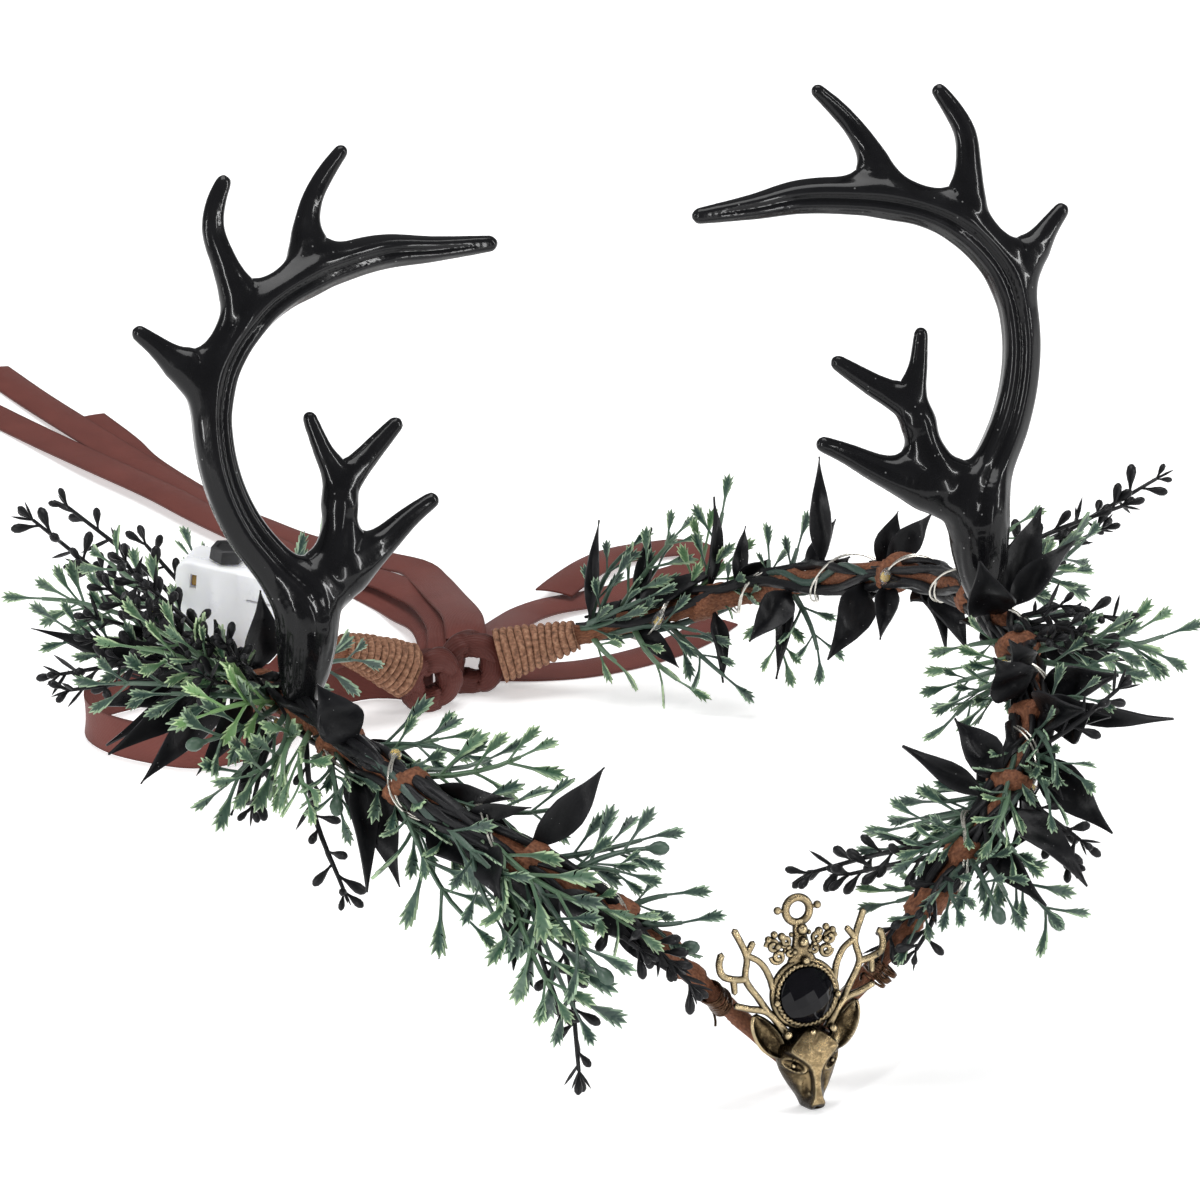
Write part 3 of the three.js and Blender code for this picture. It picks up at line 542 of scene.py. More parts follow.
# %% Ribbons laid along their routes
RIBBON = {"width": 10.0, "thick": 0.45, "cup": 0.35, "columns": 8, "step": 2.2}
RIBBONS = {  # name: how it lies, where its far end goes, then its route x, y, z
    "ribbon_tail_long": ("flat", "bare", [
        (6, 108.5, 11.5), (8, 115, 11.4), (11, 126, 10), (14, 147, 6.2), (16, 164, 3.4), (16, 176, 2),
        (11, 183, 1.7), (4, 191, 1.7), (-5, 202, 1.7), (-12, 216, 1.7), (-20, 234, 1.7),
        (-25, 254, 1.7), (-34, 291, 1.7), (-40, 321, 1), (-44, 345, 0.6),
    ]),
    "ribbon_tail_low": ("flat", "bare", [
        (0, 106, 9), (3, 114, 8.9), (7, 126, 7.6), (10, 147, 4.8), (9, 157, 3.6), (6, 168, 2.9),
        (0, 177, 2.8), (-8, 187, 2.8), (-15, 203, 2.8), (-23, 224, 2.8), (-29, 243, 2.8),
        (-38, 267, 2.6), (-44, 287, 1.5), (-50, 307, 0.7), (-54, 319, 0.6),
    ]),
    "ribbon_tail_short": ("flat", "bare", [
        (-3, 104, 6.5), (0, 112, 6.4), (4, 125, 5.2), (6, 138, 3.2), (5, 149, 1.6), (4, 158, 0.8),
        (-1, 175, 0.6), (-7, 196, 0.6), (-12, 214, 0.6), (-19, 239, 0.6), (-26, 270, 0.6),
        (-27, 284, 0.6), (-30, 304, 0.6),
    ]),
    "ribbon_loop_left": ("edge", "object", [
        (-10, 101.5, 5.4), (-14, 104.5, 5.4), (-20, 106.5, 5.4), (-28, 105, 5.4), (-42, 94, 5.4),
        (-55, 85, 5.4), (-62, 82, 5.4), (-72, 83, 5.4), (-81, 90, 5.4), (-88, 99, 5.4), (-90, 108, 5.4),
        (-87, 116, 5.4), (-77, 120, 5.4), (-63, 121, 5.4), (-48, 119, 5.4), (-34, 117, 5.4),
        (-22, 113, 5.4), (-12, 107, 5.4), (-7.5, 103.8, 5.4), (-5, 101.8, 5.4),
    ]),
    "ribbon_loop_right": ("flat", "bare", [
        (12, 109, 9.5), (17, 117, 8), (25, 128, 5.2), (32, 136, 3.2), (40, 141, 2), (51, 143, 1.4),
        (61, 145, 1.3), (72, 149, 1.3), (81, 152, 1.3), (86, 156, 1.3), (87, 162, 1.3), (84, 166, 1.3),
        (76, 167, 1.3), (67, 166, 1.6), (58, 160, 2.6), (47, 150, 3.4), (42, 145, 3.6),
    ]),
    "ribbon_under": ("flat", "bare", [
        (14, 110, 0.9), (24, 107, 0.6), (35, 105, 0.6), (47, 106, 0.6), (58, 109, 0.6), (68, 114, 0.6),
        (77, 121, 0.6),
    ]),
}


def lay_ribbon(route, lies):
    """A grid laid along a route, flat or on edge, cupped and given its thickness."""
    bm = bmesh.new()
    chart = bm.loops.layers.uv.new("UVMap")
    rings = rings_along(route, round(route.length / RIBBON["step"]))
    last = len(rings) - 1
    bmesh.ops.create_grid(bm, x_segments=RIBBON["columns"], y_segments=last, size=1.0, calc_uvs=True)
    for face in bm.faces:
        for loop in face.loops:
            u, v = loop[chart].uv
            loop[chart].uv = (u, v * route.length)
    for corner in bm.verts:
        ring = rings[round((corner.co.y + 1) / 2 * last)]
        wide, thin = (ring.side, ring.out) if lies == "flat" else (ring.out, ring.side)
        rise = RIBBON["cup"] * (1 - corner.co.x**2) * (1 + 0.6 * math.sin(ring.run / 17))
        across = corner.co.x * RIBBON["width"] / 2
        corner.co = ring.at + (wide * across + thin * rise) * MM
    bmesh.ops.recalc_face_normals(bm, faces=bm.faces)
    bmesh.ops.solidify(bm, geom=bm.faces[:], thickness=RIBBON["thick"] * MM)
    return bm


for name, (lies, far_end, rows) in RIBBONS.items():
    route = Route(crown_rows(rows))
    strip = finish_piece(name + "_satin", lay_ribbon(route, lies), satin, [name])
    stops = [route.row(run)[:3] for run in np.linspace(0, route.length, 30)]

# %% [markdown]
# ## The wrapped branches
# Each branch is stiff wire under brown paper tape, wound on a slant with its edge
# overlapping, so the surface steps a little once a turn and has fine lengthwise
# wrinkles. A rolled tube takes both from its section: a saw-tooth for the overlap
# and noise for the wrinkles. Short bands of extra tape hold the sprigs.

# %% Paper tape
tape, tree, shader = start_material("paper tape", {"Specular IOR Level": 0.3})
cloud = place_group(tree, MOTTLE, {"Scale": 220.0, "Stretch": (1, 1, 1.4)})
chart = add_node(tree, "UVMap", {"uv_map": "UVMap"}).outputs["UV"]
stretched = add_node(tree, "Mapping", inputs={"Vector": chart, "Scale": (14, 0.35, 1)}).outputs[0]
streaks = add_node(
    tree, "TexNoise", inputs={"Vector": stretched, "Scale": 3.0, "Detail": 6.0}
).outputs["Fac"]
brown = ramp(
    tree, streaks,
    [(0.25, (0.075, 0.026, 0.013)), (0.5, (0.18, 0.066, 0.031)), (0.75, (0.3, 0.124, 0.062))],
)
patchy = ramp(tree, cloud["Shade"], [(0.3, 0.55), (0.6, 1.0)])
paint(
    tree, shader, multiply(tree, 0.75, brown, patchy),
    ramp(tree, cloud["Grain"], [(0.3, 0.6), (0.7, 0.85)]),
)
relief(tree, shader, math_node(tree, "ADD", streaks, cloud["Grain"]), 0.00025)
print("material:", tape.name)

# %% Branch tubes with their tape
BRANCH = {"radius": 2.5, "thin": 2.0, "overlap": 0.3, "turn_every": 11.0, "wrinkle": 0.16}
BRANCH_GRID = {"around": 28, "step": 0.9}
BAND = {"slant": 2.4, "ridge": 0.12, "smooths": 0.7}
THINS = (262.0, 312.0)  # the stretch over which a branch thins towards the V
BINDING = {"start": 8.2, "length": 18.0, "wide": 13.4, "narrow": 7.0, "turns": 11}
TAPE_BANDS = {  # millimetres along the branch: middle, length, extra radius
    "left": [
        (62, 10, 0.8), (160, 8, 2.5), (202, 6, 2.5), (228, 5, 2.4), (262, 5, 2.4), (284, 6, 2.2),
        (297, 7, 1.8), (306, 5, 0.6),
    ],
    "right": [
        (60, 7, 1.6), (84, 12, 1.0), (132, 6, 2.2), (176, 5, 2.3), (212, 6, 2.4), (243, 5, 2.4),
        (266, 5, 2.3), (286, 6, 2.1), (300, 8, 1.7), (310, 5, 0.6),
    ],
}


def branch_core(run):
    """Radius of a branch without its wrinkles, thinner towards the V."""
    return float(np.interp(run, THINS, (BRANCH["radius"], BRANCH["thin"])))


def wrinkle(turn, run, seed, scale):
    """Lengthwise folds: quick change round the branch, slow change along it."""
    place = (math.cos(turn) * scale + seed, math.sin(turn) * scale, run * 0.045)
    return noise.noise(place)


def branch_radius(side):
    """Radius of a branch's skin: tape overlap, wrinkles, bands and a rounded end."""
    seed = 3.0 if side == "left" else 9.0
    end = BRANCHES[side].length

    def radius(turn, ring):
        lap = (ring.run / BRANCH["turn_every"] + turn / (2 * math.pi)) % 1
        swell, tight = 0.0, 0.0
        for middle, length, extra in TAPE_BANDS[side]:
            away = abs(ring.run - middle - BAND["slant"] * math.cos(turn)) / (length / 2)
            if away < 1:
                ridge = BAND["ridge"] * math.sin(ring.run * 2.6 + turn)
                tight = max(tight, min(1.0, 4 * (1 - away)))
                swell = max(swell, (extra + ridge) * tight)
        tip = min(1.0, math.sqrt(max(0.0, (end - ring.run) / 2.5)))
        step = BRANCH["overlap"] * (1 - lap) ** 3
        broad, fine = wrinkle(turn, ring.run, seed, 2.6), wrinkle(turn, ring.run * 3, seed, 5)
        folds = BRANCH["wrinkle"] * (broad + 0.6 * fine) * (1 - BAND["smooths"] * tight)
        return (branch_core(ring.run) + step + folds + swell) * tip
    return radius


for side, route in BRANCHES.items():
    bm = bmesh.new()
    start = BINDING["start"] + BINDING["length"] - 2
    count = round((route.length - start) / BRANCH_GRID["step"])
    rings = rings_along(route, count, start=start)
    roll_tube(bm, rings, BRANCH_GRID["around"], round_section(branch_radius(side)))
    finish_piece(f"wrapped_branch_{side}", bm, tape, [f"branch_{side}"], crease=70)

# %% [markdown]
# ## Stems beside the branches
# The sprigs' own plastic stems run along the branch before they leave it, most of
# them black and some green. They are thin rolled tubes that wander round the branch
# at the distance of its skin. Where foliage is thick, more black stems are drawn by
# chance from a fixed seed, so that hardly any tape shows there.

# %% Black plastic and green plastic
black_leaf, tree, shader = start_material("black leaf plastic", {"Specular IOR Level": 0.15})
cloud = place_group(tree, MOTTLE, {"Scale": 260.0})
specks = place_group(tree, DUST, {"Scale": 1600.0, "Size": 0.2, "Amount": 0.035})["Mask"]
edges = place_group(tree, WEAR_AND_LIGHT_EDGES, {"Spread": 0.09})
dark = mix(tree, cloud["Shade"], (0.0022, 0.0023, 0.0028), (0.0072, 0.0074, 0.0088))
rubbed = mix(tree, math_node(tree, "MULTIPLY", edges["Edge"], 0.25), dark, (0.045, 0.045, 0.048))
paint(
    tree, shader, mix(tree, specks, rubbed, (0.12, 0.12, 0.12)),
    ramp(tree, cloud["Shade"], [(0.3, 0.26), (0.7, 0.44)]),
)
relief(tree, shader, cloud["Grain"], 0.00012, 0.6)

green, tree, shader = start_material("fern plastic", {"Specular IOR Level": 0.45})
cloud = place_group(tree, MOTTLE, {"Scale": 330.0})
rim = add_node(tree, "Attribute", {"attribute_name": "rim"}).outputs["Fac"]
tone = add_node(tree, "Attribute", {"attribute_name": "tone"}).outputs["Fac"]
edges = place_group(tree, WEAR_AND_LIGHT_EDGES, {"Spread": 0.11})
deep = ramp(
    tree, tone, [
        (0.0, (0.007, 0.024, 0.023)), (0.45, (0.016, 0.054, 0.041)), (0.75, (0.048, 0.125, 0.06)),
        (1.0, (0.16, 0.34, 0.1)),
    ],
)
light = mix(tree, tone, (0.29, 0.42, 0.3), (0.62, 0.78, 0.44))
border = math_node(tree, "POWER", rim, 6.0)
uneven = math_node(tree, "MULTIPLY", border, ramp(tree, cloud["Shade"], [(0.32, 0.45), (0.6, 1.0)]))
# Painted highlight: convex edges, stalks and buds are painted towards the paler colour, as glints of
# light
painted_highlight = math_node(tree, "MULTIPLY", edges["Edge"], 0.16)
# The paler colour goes where the real rim is, and where the painted highlight is
share = add_node(
    tree, "Math", {"operation": "MAXIMUM", "use_clamp": True}, {0: uneven, 1: painted_highlight}
).outputs[0]
paint(
    tree, shader, mix(tree, share, deep, light),
    ramp(tree, cloud["Grain"], [(0.3, 0.32), (0.7, 0.5)]),
)
relief(tree, shader, cloud["Grain"], 0.00012, 0.6)
print("materials:", black_leaf.name, green.name)

# %% Stems that run beside the branches
STEMS = {  # branch, black or green: start, end (mm along), clock angle in degrees, turns, diameter
    ("left", "black"): [
        (96, 214, 250, 0.35, 2), (118, 232, 310, 0.3, 1.9), (124, 300, 205, 0.4, 2),
        (176, 296, 285, 0.35, 2), (190, 268, 20, 0.3, 2.2), (60, 150, 120, 0.4, 2.0),
        (146, 258, 335, 0.25, 2.3),
    ],
    ("left", "green"): [(52, 130, 60, 0.4, 1.7), (206, 300, 40, 0.5, 2.0), (224, 292, 150, 0.3, 1.7)],
    ("right", "black"): [
        (27, 134, 25, 0.25, 2), (29, 120, 330, 0.2, 2.3), (58, 190, 60, 0.35, 2.4),
        (126, 262, 20, 0.4, 2), (170, 300, 80, 0.45, 2), (196, 296, 330, 0.4, 2.4),
        (150, 240, 120, 0.4, 2.2),
    ],
    ("right", "green"): [
        (30, 104, 165, 0.3, 1.7), (72, 140, 10, 0.3, 1.8), (160, 222, 200, 0.4, 1.7),
        (250, 304, 230, 0.3, 1.8),
    ],
}
STEM_PLASTIC = {"black": black_leaf, "green": green}
STEM = {"point_every": 12, "ring_every": 3, "wander": 0.7, "gap": 0.3, "lie": 0.42, "around": 8}


def stem_rings(side, start, end, clock, turns, thick):
    """Rings of a stem that wanders round the branch as it runs along it."""
    rows = []
    for share in np.linspace(0, 1, max(5, round((end - start) / STEM["point_every"]))):
        at, along = BRANCHES[side].place(start + (end - start) * share)
        out = square_to(UP, along)
        wander = STEM["wander"] * math.sin(11 * share + clock)
        angle = math.radians(clock) + 2 * math.pi * turns * share + wander
        away = branch_core(start + (end - start) * share) + STEM["gap"] + thick * STEM["lie"]
        rows.append(at + (out * math.cos(angle) + along.cross(out) * math.sin(angle)) * away * MM)
    route = Route(rows)
    return rings_along(route, max(8, round(route.length / STEM["ring_every"])))


COVER = {  # from, to in mm along, how many more black stems
    "left": (118, 304, 18), "right": (112, 304, 26),
}
draw = random.Random(5)
for side, (first, last, count) in COVER.items():
    for _ in range(count):
        start = draw.uniform(first, last - 50)
        end = min(last, start + draw.uniform(45, 95))
        clock, turns, thick = draw.uniform(0, 360), draw.uniform(-0.7, 0.8), draw.uniform(1.1, 1.9)
        STEMS[side, "black"].append((start, end, clock, turns, thick))
for (side, colour), rows in STEMS.items():
    bm = bmesh.new()
    for start, end, clock, turns, thick in rows:
        def stem_radius(turn, ring, thick=thick, seed=clock):
            ends = min(1.0, 8 * min(ring.share, 1 - ring.share) + 0.25)
            bumps = noise.noise((seed + 2 * math.cos(turn), 2 * math.sin(turn), ring.run * 0.2))
            return thick / 2 * ends * (1 + 0.4 * bumps)
        rings = stem_rings(side, start, end, clock, turns, thick)
        roll_tube(bm, rings, STEM["around"], round_section(stem_radius))
    finish_piece(f"{colour}_stems_{side}", bm, STEM_PLASTIC[colour])

# %% [markdown]
# ## Rear loops and their twine
# Each rear end is bent into a small loop and wrapped in the same satin ribbon, so it
# bulges at every turn, and it is pressed flat where it stands on the table. Tan
# twine is wound over the joint, thick at the loop and thin towards the branch.

# %% Wrapped loops
LOOP = {"ring": 5.1, "tube": 2.5, "wraps": 4, "bulge": 0.95, "fold": 0.35, "crease": 0.5}
LOOP_GRID = {"around": 30, "steps": 140}
# Painted shade: the loops use the same satin in darker colours, for the shade in the tight wraps
shaded_wrap_satin = make_satin("ribbon satin, painted darker for wraps", (0.07, 0.019, 0.015), (0.135, 0.038, 0.03))


def circle_rings(middle, first, second, radius, steps):
    """Closed rings round a circle; the radius is in millimetres."""
    rings = []
    for share in np.linspace(0, 1, steps + 1):
        angle = 2 * math.pi * share
        out = first * math.cos(angle) + second * math.sin(angle)
        along = second * math.cos(angle) - first * math.sin(angle)
        run = 2 * math.pi * radius * share
        rings.append(Ring(middle + out * radius * MM, along, out, along.cross(out), (), share, run))
    return rings


def loop_radius(turn, ring):
    """Ribbon wound on a slant: each turn swells, then steps down at its edge, and has fine folds."""
    angle = 2 * math.pi * ring.share
    lap = (LOOP["wraps"] * ring.share + 0.5 * turn / math.pi + 0.12 * math.sin(3 * turn)) % 1
    swell = LOOP["bulge"] * math.sin(math.pi * lap**0.6) ** 0.7
    fold = noise.noise((4 * math.cos(turn), 4 * math.sin(turn) + lap, 1.3 * math.cos(angle)))
    crease = abs(noise.noise((2 * math.cos(turn), 2 * math.sin(turn), 3 * math.sin(angle) + 5)))
    return LOOP["tube"] + swell + LOOP["fold"] * fold - LOOP["crease"] * max(0.0, 0.25 - crease)


for side, route in BRANCHES.items():
    at, along = route.place(0)
    out = Vector((along.x, along.y, 0)).normalized()
    bm = bmesh.new()
    rings = circle_rings(at, out, UP, LOOP["ring"], LOOP_GRID["steps"])
    roll_tube(bm, rings, LOOP_GRID["around"], round_section(loop_radius))
    for corner in bm.verts:
        corner.co.z = max(corner.co.z, 0.1 * MM * (1 + math.sin(corner.co.x / MM)))
    finish_piece(f"ribbon_wrapped_loop_{side}", bm, shaded_wrap_satin, [f"end_loop_{side}"])

# %% Twine
twine, tree, shader = start_material("waxed twine", {"Specular IOR Level": 0.3})
chart = add_node(tree, "UVMap", {"uv_map": "UVMap"}).outputs["UV"]
slanted = add_node(
    tree, "Mapping", inputs={"Vector": chart, "Scale": (38, 0.9, 1), "Rotation": (0, 0, 0.25)}
).outputs[0]
fibres = add_node(
    tree, "TexNoise", inputs={"Vector": slanted, "Scale": 1.0, "Detail": 5.0}
).outputs["Fac"]
cloud = place_group(tree, MOTTLE, {"Scale": 260.0})
edges = place_group(tree, WEAR_AND_LIGHT_EDGES, {"Spread": 0.1})
tan = ramp(
    tree, fibres,
    [(0.28, (0.09, 0.042, 0.024)), (0.5, (0.27, 0.132, 0.078)), (0.75, (0.46, 0.265, 0.165))],
)
# Painted shade: the hollows between the turns of twine are darkened in the colour
painted_groove_shade = ramp(tree, edges["Hollow"], [(0.0, 1.0), (0.9, 0.16)])
paint(
    tree, shader, multiply(tree, 1.0, tan, painted_groove_shade),
    ramp(tree, fibres, [(0.3, 0.7), (0.7, 0.9)]),
)
relief(tree, shader, math_node(tree, "ADD", fibres, cloud["Grain"]), 0.0003)
print("material:", twine.name)

# %% Twine bindings
TWINE = {"uneven": 0.12, "core": 0.75, "cord": 0.95, "lumps": 0.25, "rings": 150, "around": 40}


def binding_radius(turn, ring):
    """Radius of the binding: a taper with one round bulge for each turn of twine."""
    share = ring.share
    taper = BINDING["wide"] + (BINDING["narrow"] - BINDING["wide"]) * share**1.15
    uneven = TWINE["uneven"] * math.sin(7 * share + 2 * turn)
    lap = BINDING["turns"] * share + turn / (2 * math.pi) + uneven
    round_turn = abs(math.sin(math.pi * lap)) ** 0.55
    lumps = TWINE["lumps"] * noise.noise((2 * math.cos(turn), 2 * math.sin(turn), share * 9))
    return taper / 2 - TWINE["core"] + TWINE["cord"] * round_turn + lumps


for side, route in BRANCHES.items():
    bm = bmesh.new()
    end = BINDING["start"] + BINDING["length"]
    rings = rings_along(route, TWINE["rings"], start=BINDING["start"] - 1.5, end=end)
    roll_tube(bm, rings, TWINE["around"], round_section(binding_radius))
    for corner in bm.verts:
        corner.co.z = max(corner.co.z, 0.15 * MM)
    finish_piece(f"twine_binding_{side}", bm, twine, [f"end_binding_{side}"], crease=80)

# %% [markdown]
# ## The antlers
# Both antlers come from one mould and its mirror: glossy black resin with one broad
# groove down the beam's face, shallow ones round it, webbed forks and blunt tips.
# Separate tubes would show a seam at every fork, so a voxel remesh joins the limbs,
# and the skin is then moved out between them into webs. The flutes are pressed in
# last, because a remesh would blur them: each point is pushed in by its angle round
# the limbs near it.

# %% Antler resin
resin, tree, shader = start_material(
    "antler resin", {"Specular IOR Level": 0.1, "Coat Weight": 0.26, "Coat Roughness": 0.05}
)
long_grain = place_group(tree, MOTTLE, {"Scale": 160.0, "Stretch": (1, 1, 0.35)})
specks = place_group(tree, DUST, {"Scale": 1100.0, "Size": 0.22, "Amount": 0.03})["Mask"]
edges = place_group(tree, WEAR_AND_LIGHT_EDGES, {"Spread": 0.07})
dark = mix(tree, long_grain["Shade"], (0.0025, 0.0025, 0.003), (0.008, 0.008, 0.009))
rubbed = mix(tree, math_node(tree, "MULTIPLY", edges["Edge"], 0.2), dark, (0.05, 0.05, 0.053))
paint(
    tree, shader, mix(tree, specks, rubbed, (0.14, 0.14, 0.14)),
    ramp(tree, long_grain["Shade"], [(0.3, 0.14), (0.7, 0.26)]),
)
relief(tree, shader, long_grain["Grain"], 0.00015, 0.35)
print("material:", resin.name)

# %% Antler limbs joined
ANTLER_LIMBS = {  # x, y, z, width of the right antler
    "beam": [
        (82, -30, 66.5, 7), (80.8, -30.5, 76, 12), (80.5, -30, 88, 14), (85, -25.5, 96, 10.8),
        (91, -21.5, 105, 9.8), (94.5, -18.5, 114, 9.4), (96, -15.5, 124, 9.4), (95, -12, 134.5, 9.8),
        (90.5, -9, 143, 10.4), (82, -6, 150.5, 9.8), (72, -3, 154.5, 9.4), (60, 1, 156, 9),
        (49.5, 4, 156, 8.2), (38, 3.5, 155.3, 6.2), (23, 3, 155, 3.6),
    ],
    "outer": [
        (95.5, -12, 135, 9.6), (101, -9.5, 140.5, 7.6), (105.5, -7.5, 145, 5.2),
        (111, -5.5, 149.8, 3.4),
    ],
    "top_rear": [
        (86.5, -7.5, 150, 9), (88, -2.5, 159, 6.4), (89.3, 3, 166.5, 5.4), (87.5, 6.5, 171.5, 4.7),
        (84, 9, 177, 3.4),
    ],
    "top_front": [
        (70, -1, 155, 9.4), (67.5, 4.5, 163, 6.4), (64.5, 8.5, 169, 5), (60.5, 10.5, 174, 4.3),
        (55.3, 12, 179.3, 3.1),
    ],
    "brow": [
        (79, -29, 89, 11.4), (73, -25.5, 96, 9.4), (69.8, -22.5, 103.5, 7.8), (68.5, -20, 111, 7.6),
    ],
    "low_up": [
        (68.8, -19.5, 109, 6.6), (69.6, -17.5, 114.5, 5.4), (71.2, -15, 120, 4.4),
        (73.3, -11.5, 127.5, 3.3),
    ],
    "low_in": [
        (68.4, -20, 110.5, 6.8), (61, -15, 115.5, 5.6), (56, -13, 119, 4.6), (51.2, -11.5, 122.5, 3.4),
    ],
    "low_front": [
        (77, -29, 90, 11.4), (68, -25.5, 94, 9.4), (58.5, -21.5, 98.6, 6.8), (52, -19.5, 102.3, 5),
        (45, -18.3, 105.8, 3.5),
    ],
}
FLUTES = [  # degrees round the limb from its face, depth as a share of the radius, width in degrees
    (-6, 0.27, 15), (58, 0.09, 24), (-72, 0.12, 24), (122, 0.1, 24), (-130, 0.1, 24), (180, 0.1, 24),
]
ANTLER = {"voxel": 0.55, "smooths": 6, "around": 24, "step": 0.8}
WEB = {"reach": 7.5, "rounds": 9, "step": 0.7, "face_hold": 0.7}
FLUTED = {  # mm along a limb where its flutes begin, mm until they are full, their strength
    "beam": (18, 14, 1.0), "tine": (10, 8, 0.4),
}
FLUTE_FADE = {"tip": 12, "outside": 1.55, "over": 0.35}
SHANK = {"middle": 14, "reach": 16, "bumps": 0.4}  # the uneven foot of the beam, in mm


def tip_rounding(ring, length):
    """Ends a limb in a blunt half ball."""
    left = length - ring.run
    radius = ring.size[0] / 2
    return math.sqrt(max(0.0, 1 - max(0.0, 1 - left / radius) ** 2))


def blunt_tube(target, route, count, around, facing):
    """A tube down a whole route, as wide as the route's sizes and blunt at its end."""
    def radius(turn, ring):
        return ring.size[0] / 2 * tip_rounding(ring, route.length)
    rings = rings_along(route, count, facing)
    roll_tube(target, rings, around, round_section(radius))


limb_routes = {name: Route(crown_rows(rows)) for name, rows in ANTLER_LIMBS.items()}
limbs = bmesh.new()
for route in limb_routes.values():
    blunt_tube(limbs, route, round(route.length / ANTLER["step"]), ANTLER["around"], FACE)
raw = put_object("antler limbs", mesh_from(limbs, "antler limbs"))
fuse = raw.modifiers.new("fuse", "REMESH")
fuse.mode, fuse.voxel_size = "VOXEL", ANTLER["voxel"] * MM
fused_mesh = bpy.data.meshes.new_from_object(raw.evaluated_get(bpy.context.evaluated_depsgraph_get()))
bpy.data.objects.remove(raw)


def read_points(mesh, source="vertices", key="co"):
    """Places or normals of a mesh as rows."""
    rows = np.empty(len(mesh.vertices) * 3, np.float32)
    getattr(mesh, source).foreach_get(key, rows)
    return rows.reshape(-1, 3)


def write_points(mesh, places):
    """Puts the points of a mesh at new places."""
    mesh.vertices.foreach_set("co", np.ascontiguousarray(places, np.float32).ravel())
    mesh.update()


def relax(mesh, rounds):
    """Moves each point halfway to the mean of its neighbours."""
    ends = np.empty(len(mesh.edges) * 2, np.int32)
    mesh.edges.foreach_get("vertices", ends)
    one, other = ends.reshape(-1, 2).T
    here, there = np.concatenate([one, other]), np.concatenate([other, one])
    places = read_points(mesh)
    total = np.bincount(here, minlength=len(places))[:, None]
    for _ in range(rounds):
        sums = [np.bincount(here, weights=column[there], minlength=len(places)) for column in places.T]
        places = (places + np.stack(sums, 1) / total) / 2
    write_points(mesh, places)


def limb_balls(route, first):
    """A limb as balls, centre and radius in metres; they start small inside the beam."""
    rings = rings_along(route, round(route.length), FACE)
    rings = [ring for ring in rings if ring.run <= route.length - ring.size[0] / 2]
    grown = [1.0 if first else min(1.0, 0.2 + ring.run / 12) for ring in rings]
    radii = [ring.size[0] / 2 * share * MM for ring, share in zip(rings, grown)]
    return [(np.array(ring.at, np.float32), radius) for ring, radius in zip(rings, radii)]


def web_depth(places, limbs, reach):
    """How deep each point lies under a skin that blends the two nearest limbs over a reach."""
    away = []
    for balls in limbs:
        gaps = (np.linalg.norm(places - centre, axis=1) - radius for centre, radius in balls)
        away.append(np.minimum.reduce(list(gaps)))
    away = np.sort(away, axis=0)
    blend = np.maximum(reach - (away[1] - away[0]), 0) / reach
    return blend**2 * reach / 4 - away[0]


def web_forks(mesh):
    """Moves the skin out where two limbs meet, so that each fork fills into a rounded web."""
    limbs = [limb_balls(route, name == "beam") for name, route in limb_routes.items()]
    face = np.array(FACE, np.float32)
    for _ in range(WEB["rounds"]):
        places, normals = read_points(mesh), read_points(mesh, "vertex_normals", "vector")
        push = np.clip(web_depth(places, limbs, WEB["reach"] * MM), 0, WEB["step"] * MM)
        push *= 1 - WEB["face_hold"] * (normals @ face) ** 2
        write_points(mesh, places + normals * push[:, None])
        relax(mesh, 1)


relax(fused_mesh, ANTLER["smooths"])
web_forks(fused_mesh)
relax(fused_mesh, ANTLER["smooths"])
cast = bmesh.new()
cast.from_mesh(fused_mesh)
print("fused antler:", len(cast.faces), "faces")


# %% Flutes pressed into the fused antler
def flute_depth(angle, run):
    """Depth of the flutes at an angle round a limb, as a share of its radius."""
    depth = 0.0
    for middle, deep, wide in FLUTES:
        drift = middle + 8 * math.sin(run / 26 + middle)
        gap = (angle - drift + 180) % 360 - 180
        depth += deep * math.exp(-((gap / wide) ** 2))
    return depth


def press_flutes(cast):
    """Pushes each point in by its angle round its limb: deep on the beam, faint on a tine."""
    rings = {}
    for name, route in limb_routes.items():
        rings[name] = rings_along(route, round(route.length / 1.5), FACE)
    middles = {name: np.array([ring.at for ring in row]) for name, row in rings.items()}
    cast.normal_update()
    shifts = []
    for corner in cast.verts:
        push = 0.0
        for name, row in rings.items():
            away = np.linalg.norm(middles[name] - np.array(corner.co), axis=1) / MM
            nearest = int(np.argmin(away))
            ring = row[nearest]
            radius = ring.size[0] / 2
            outside = away[nearest] / radius
            near = min(1.0, max(0.0, (FLUTE_FADE["outside"] - outside) / FLUTE_FADE["over"]))
            if near == 0.0:
                continue
            spoke = corner.co - ring.at
            angle = math.degrees(math.atan2(spoke.dot(ring.side), spoke.dot(ring.out)))
            begin, grow, full = FLUTED["beam" if name == "beam" else "tine"]
            tip = min(1.0, (limb_routes[name].length - ring.run) / FLUTE_FADE["tip"])
            start = min(1.0, max(0.0, (ring.run - begin) / grow))
            strength = near * tip * start * full
            push = max(push, strength * radius * flute_depth(angle, ring.run))
            if name == "beam":
                shank = max(0.0, 1 - abs(ring.run - SHANK["middle"]) / SHANK["reach"])
                bumps = noise.noise((angle * 0.09, ring.run * 0.12, 2.0))
                push += shank * SHANK["bumps"] * bumps
        shifts.append(-corner.normal * push * MM)
    for corner, shift in zip(cast.verts, shifts):
        corner.co += shift


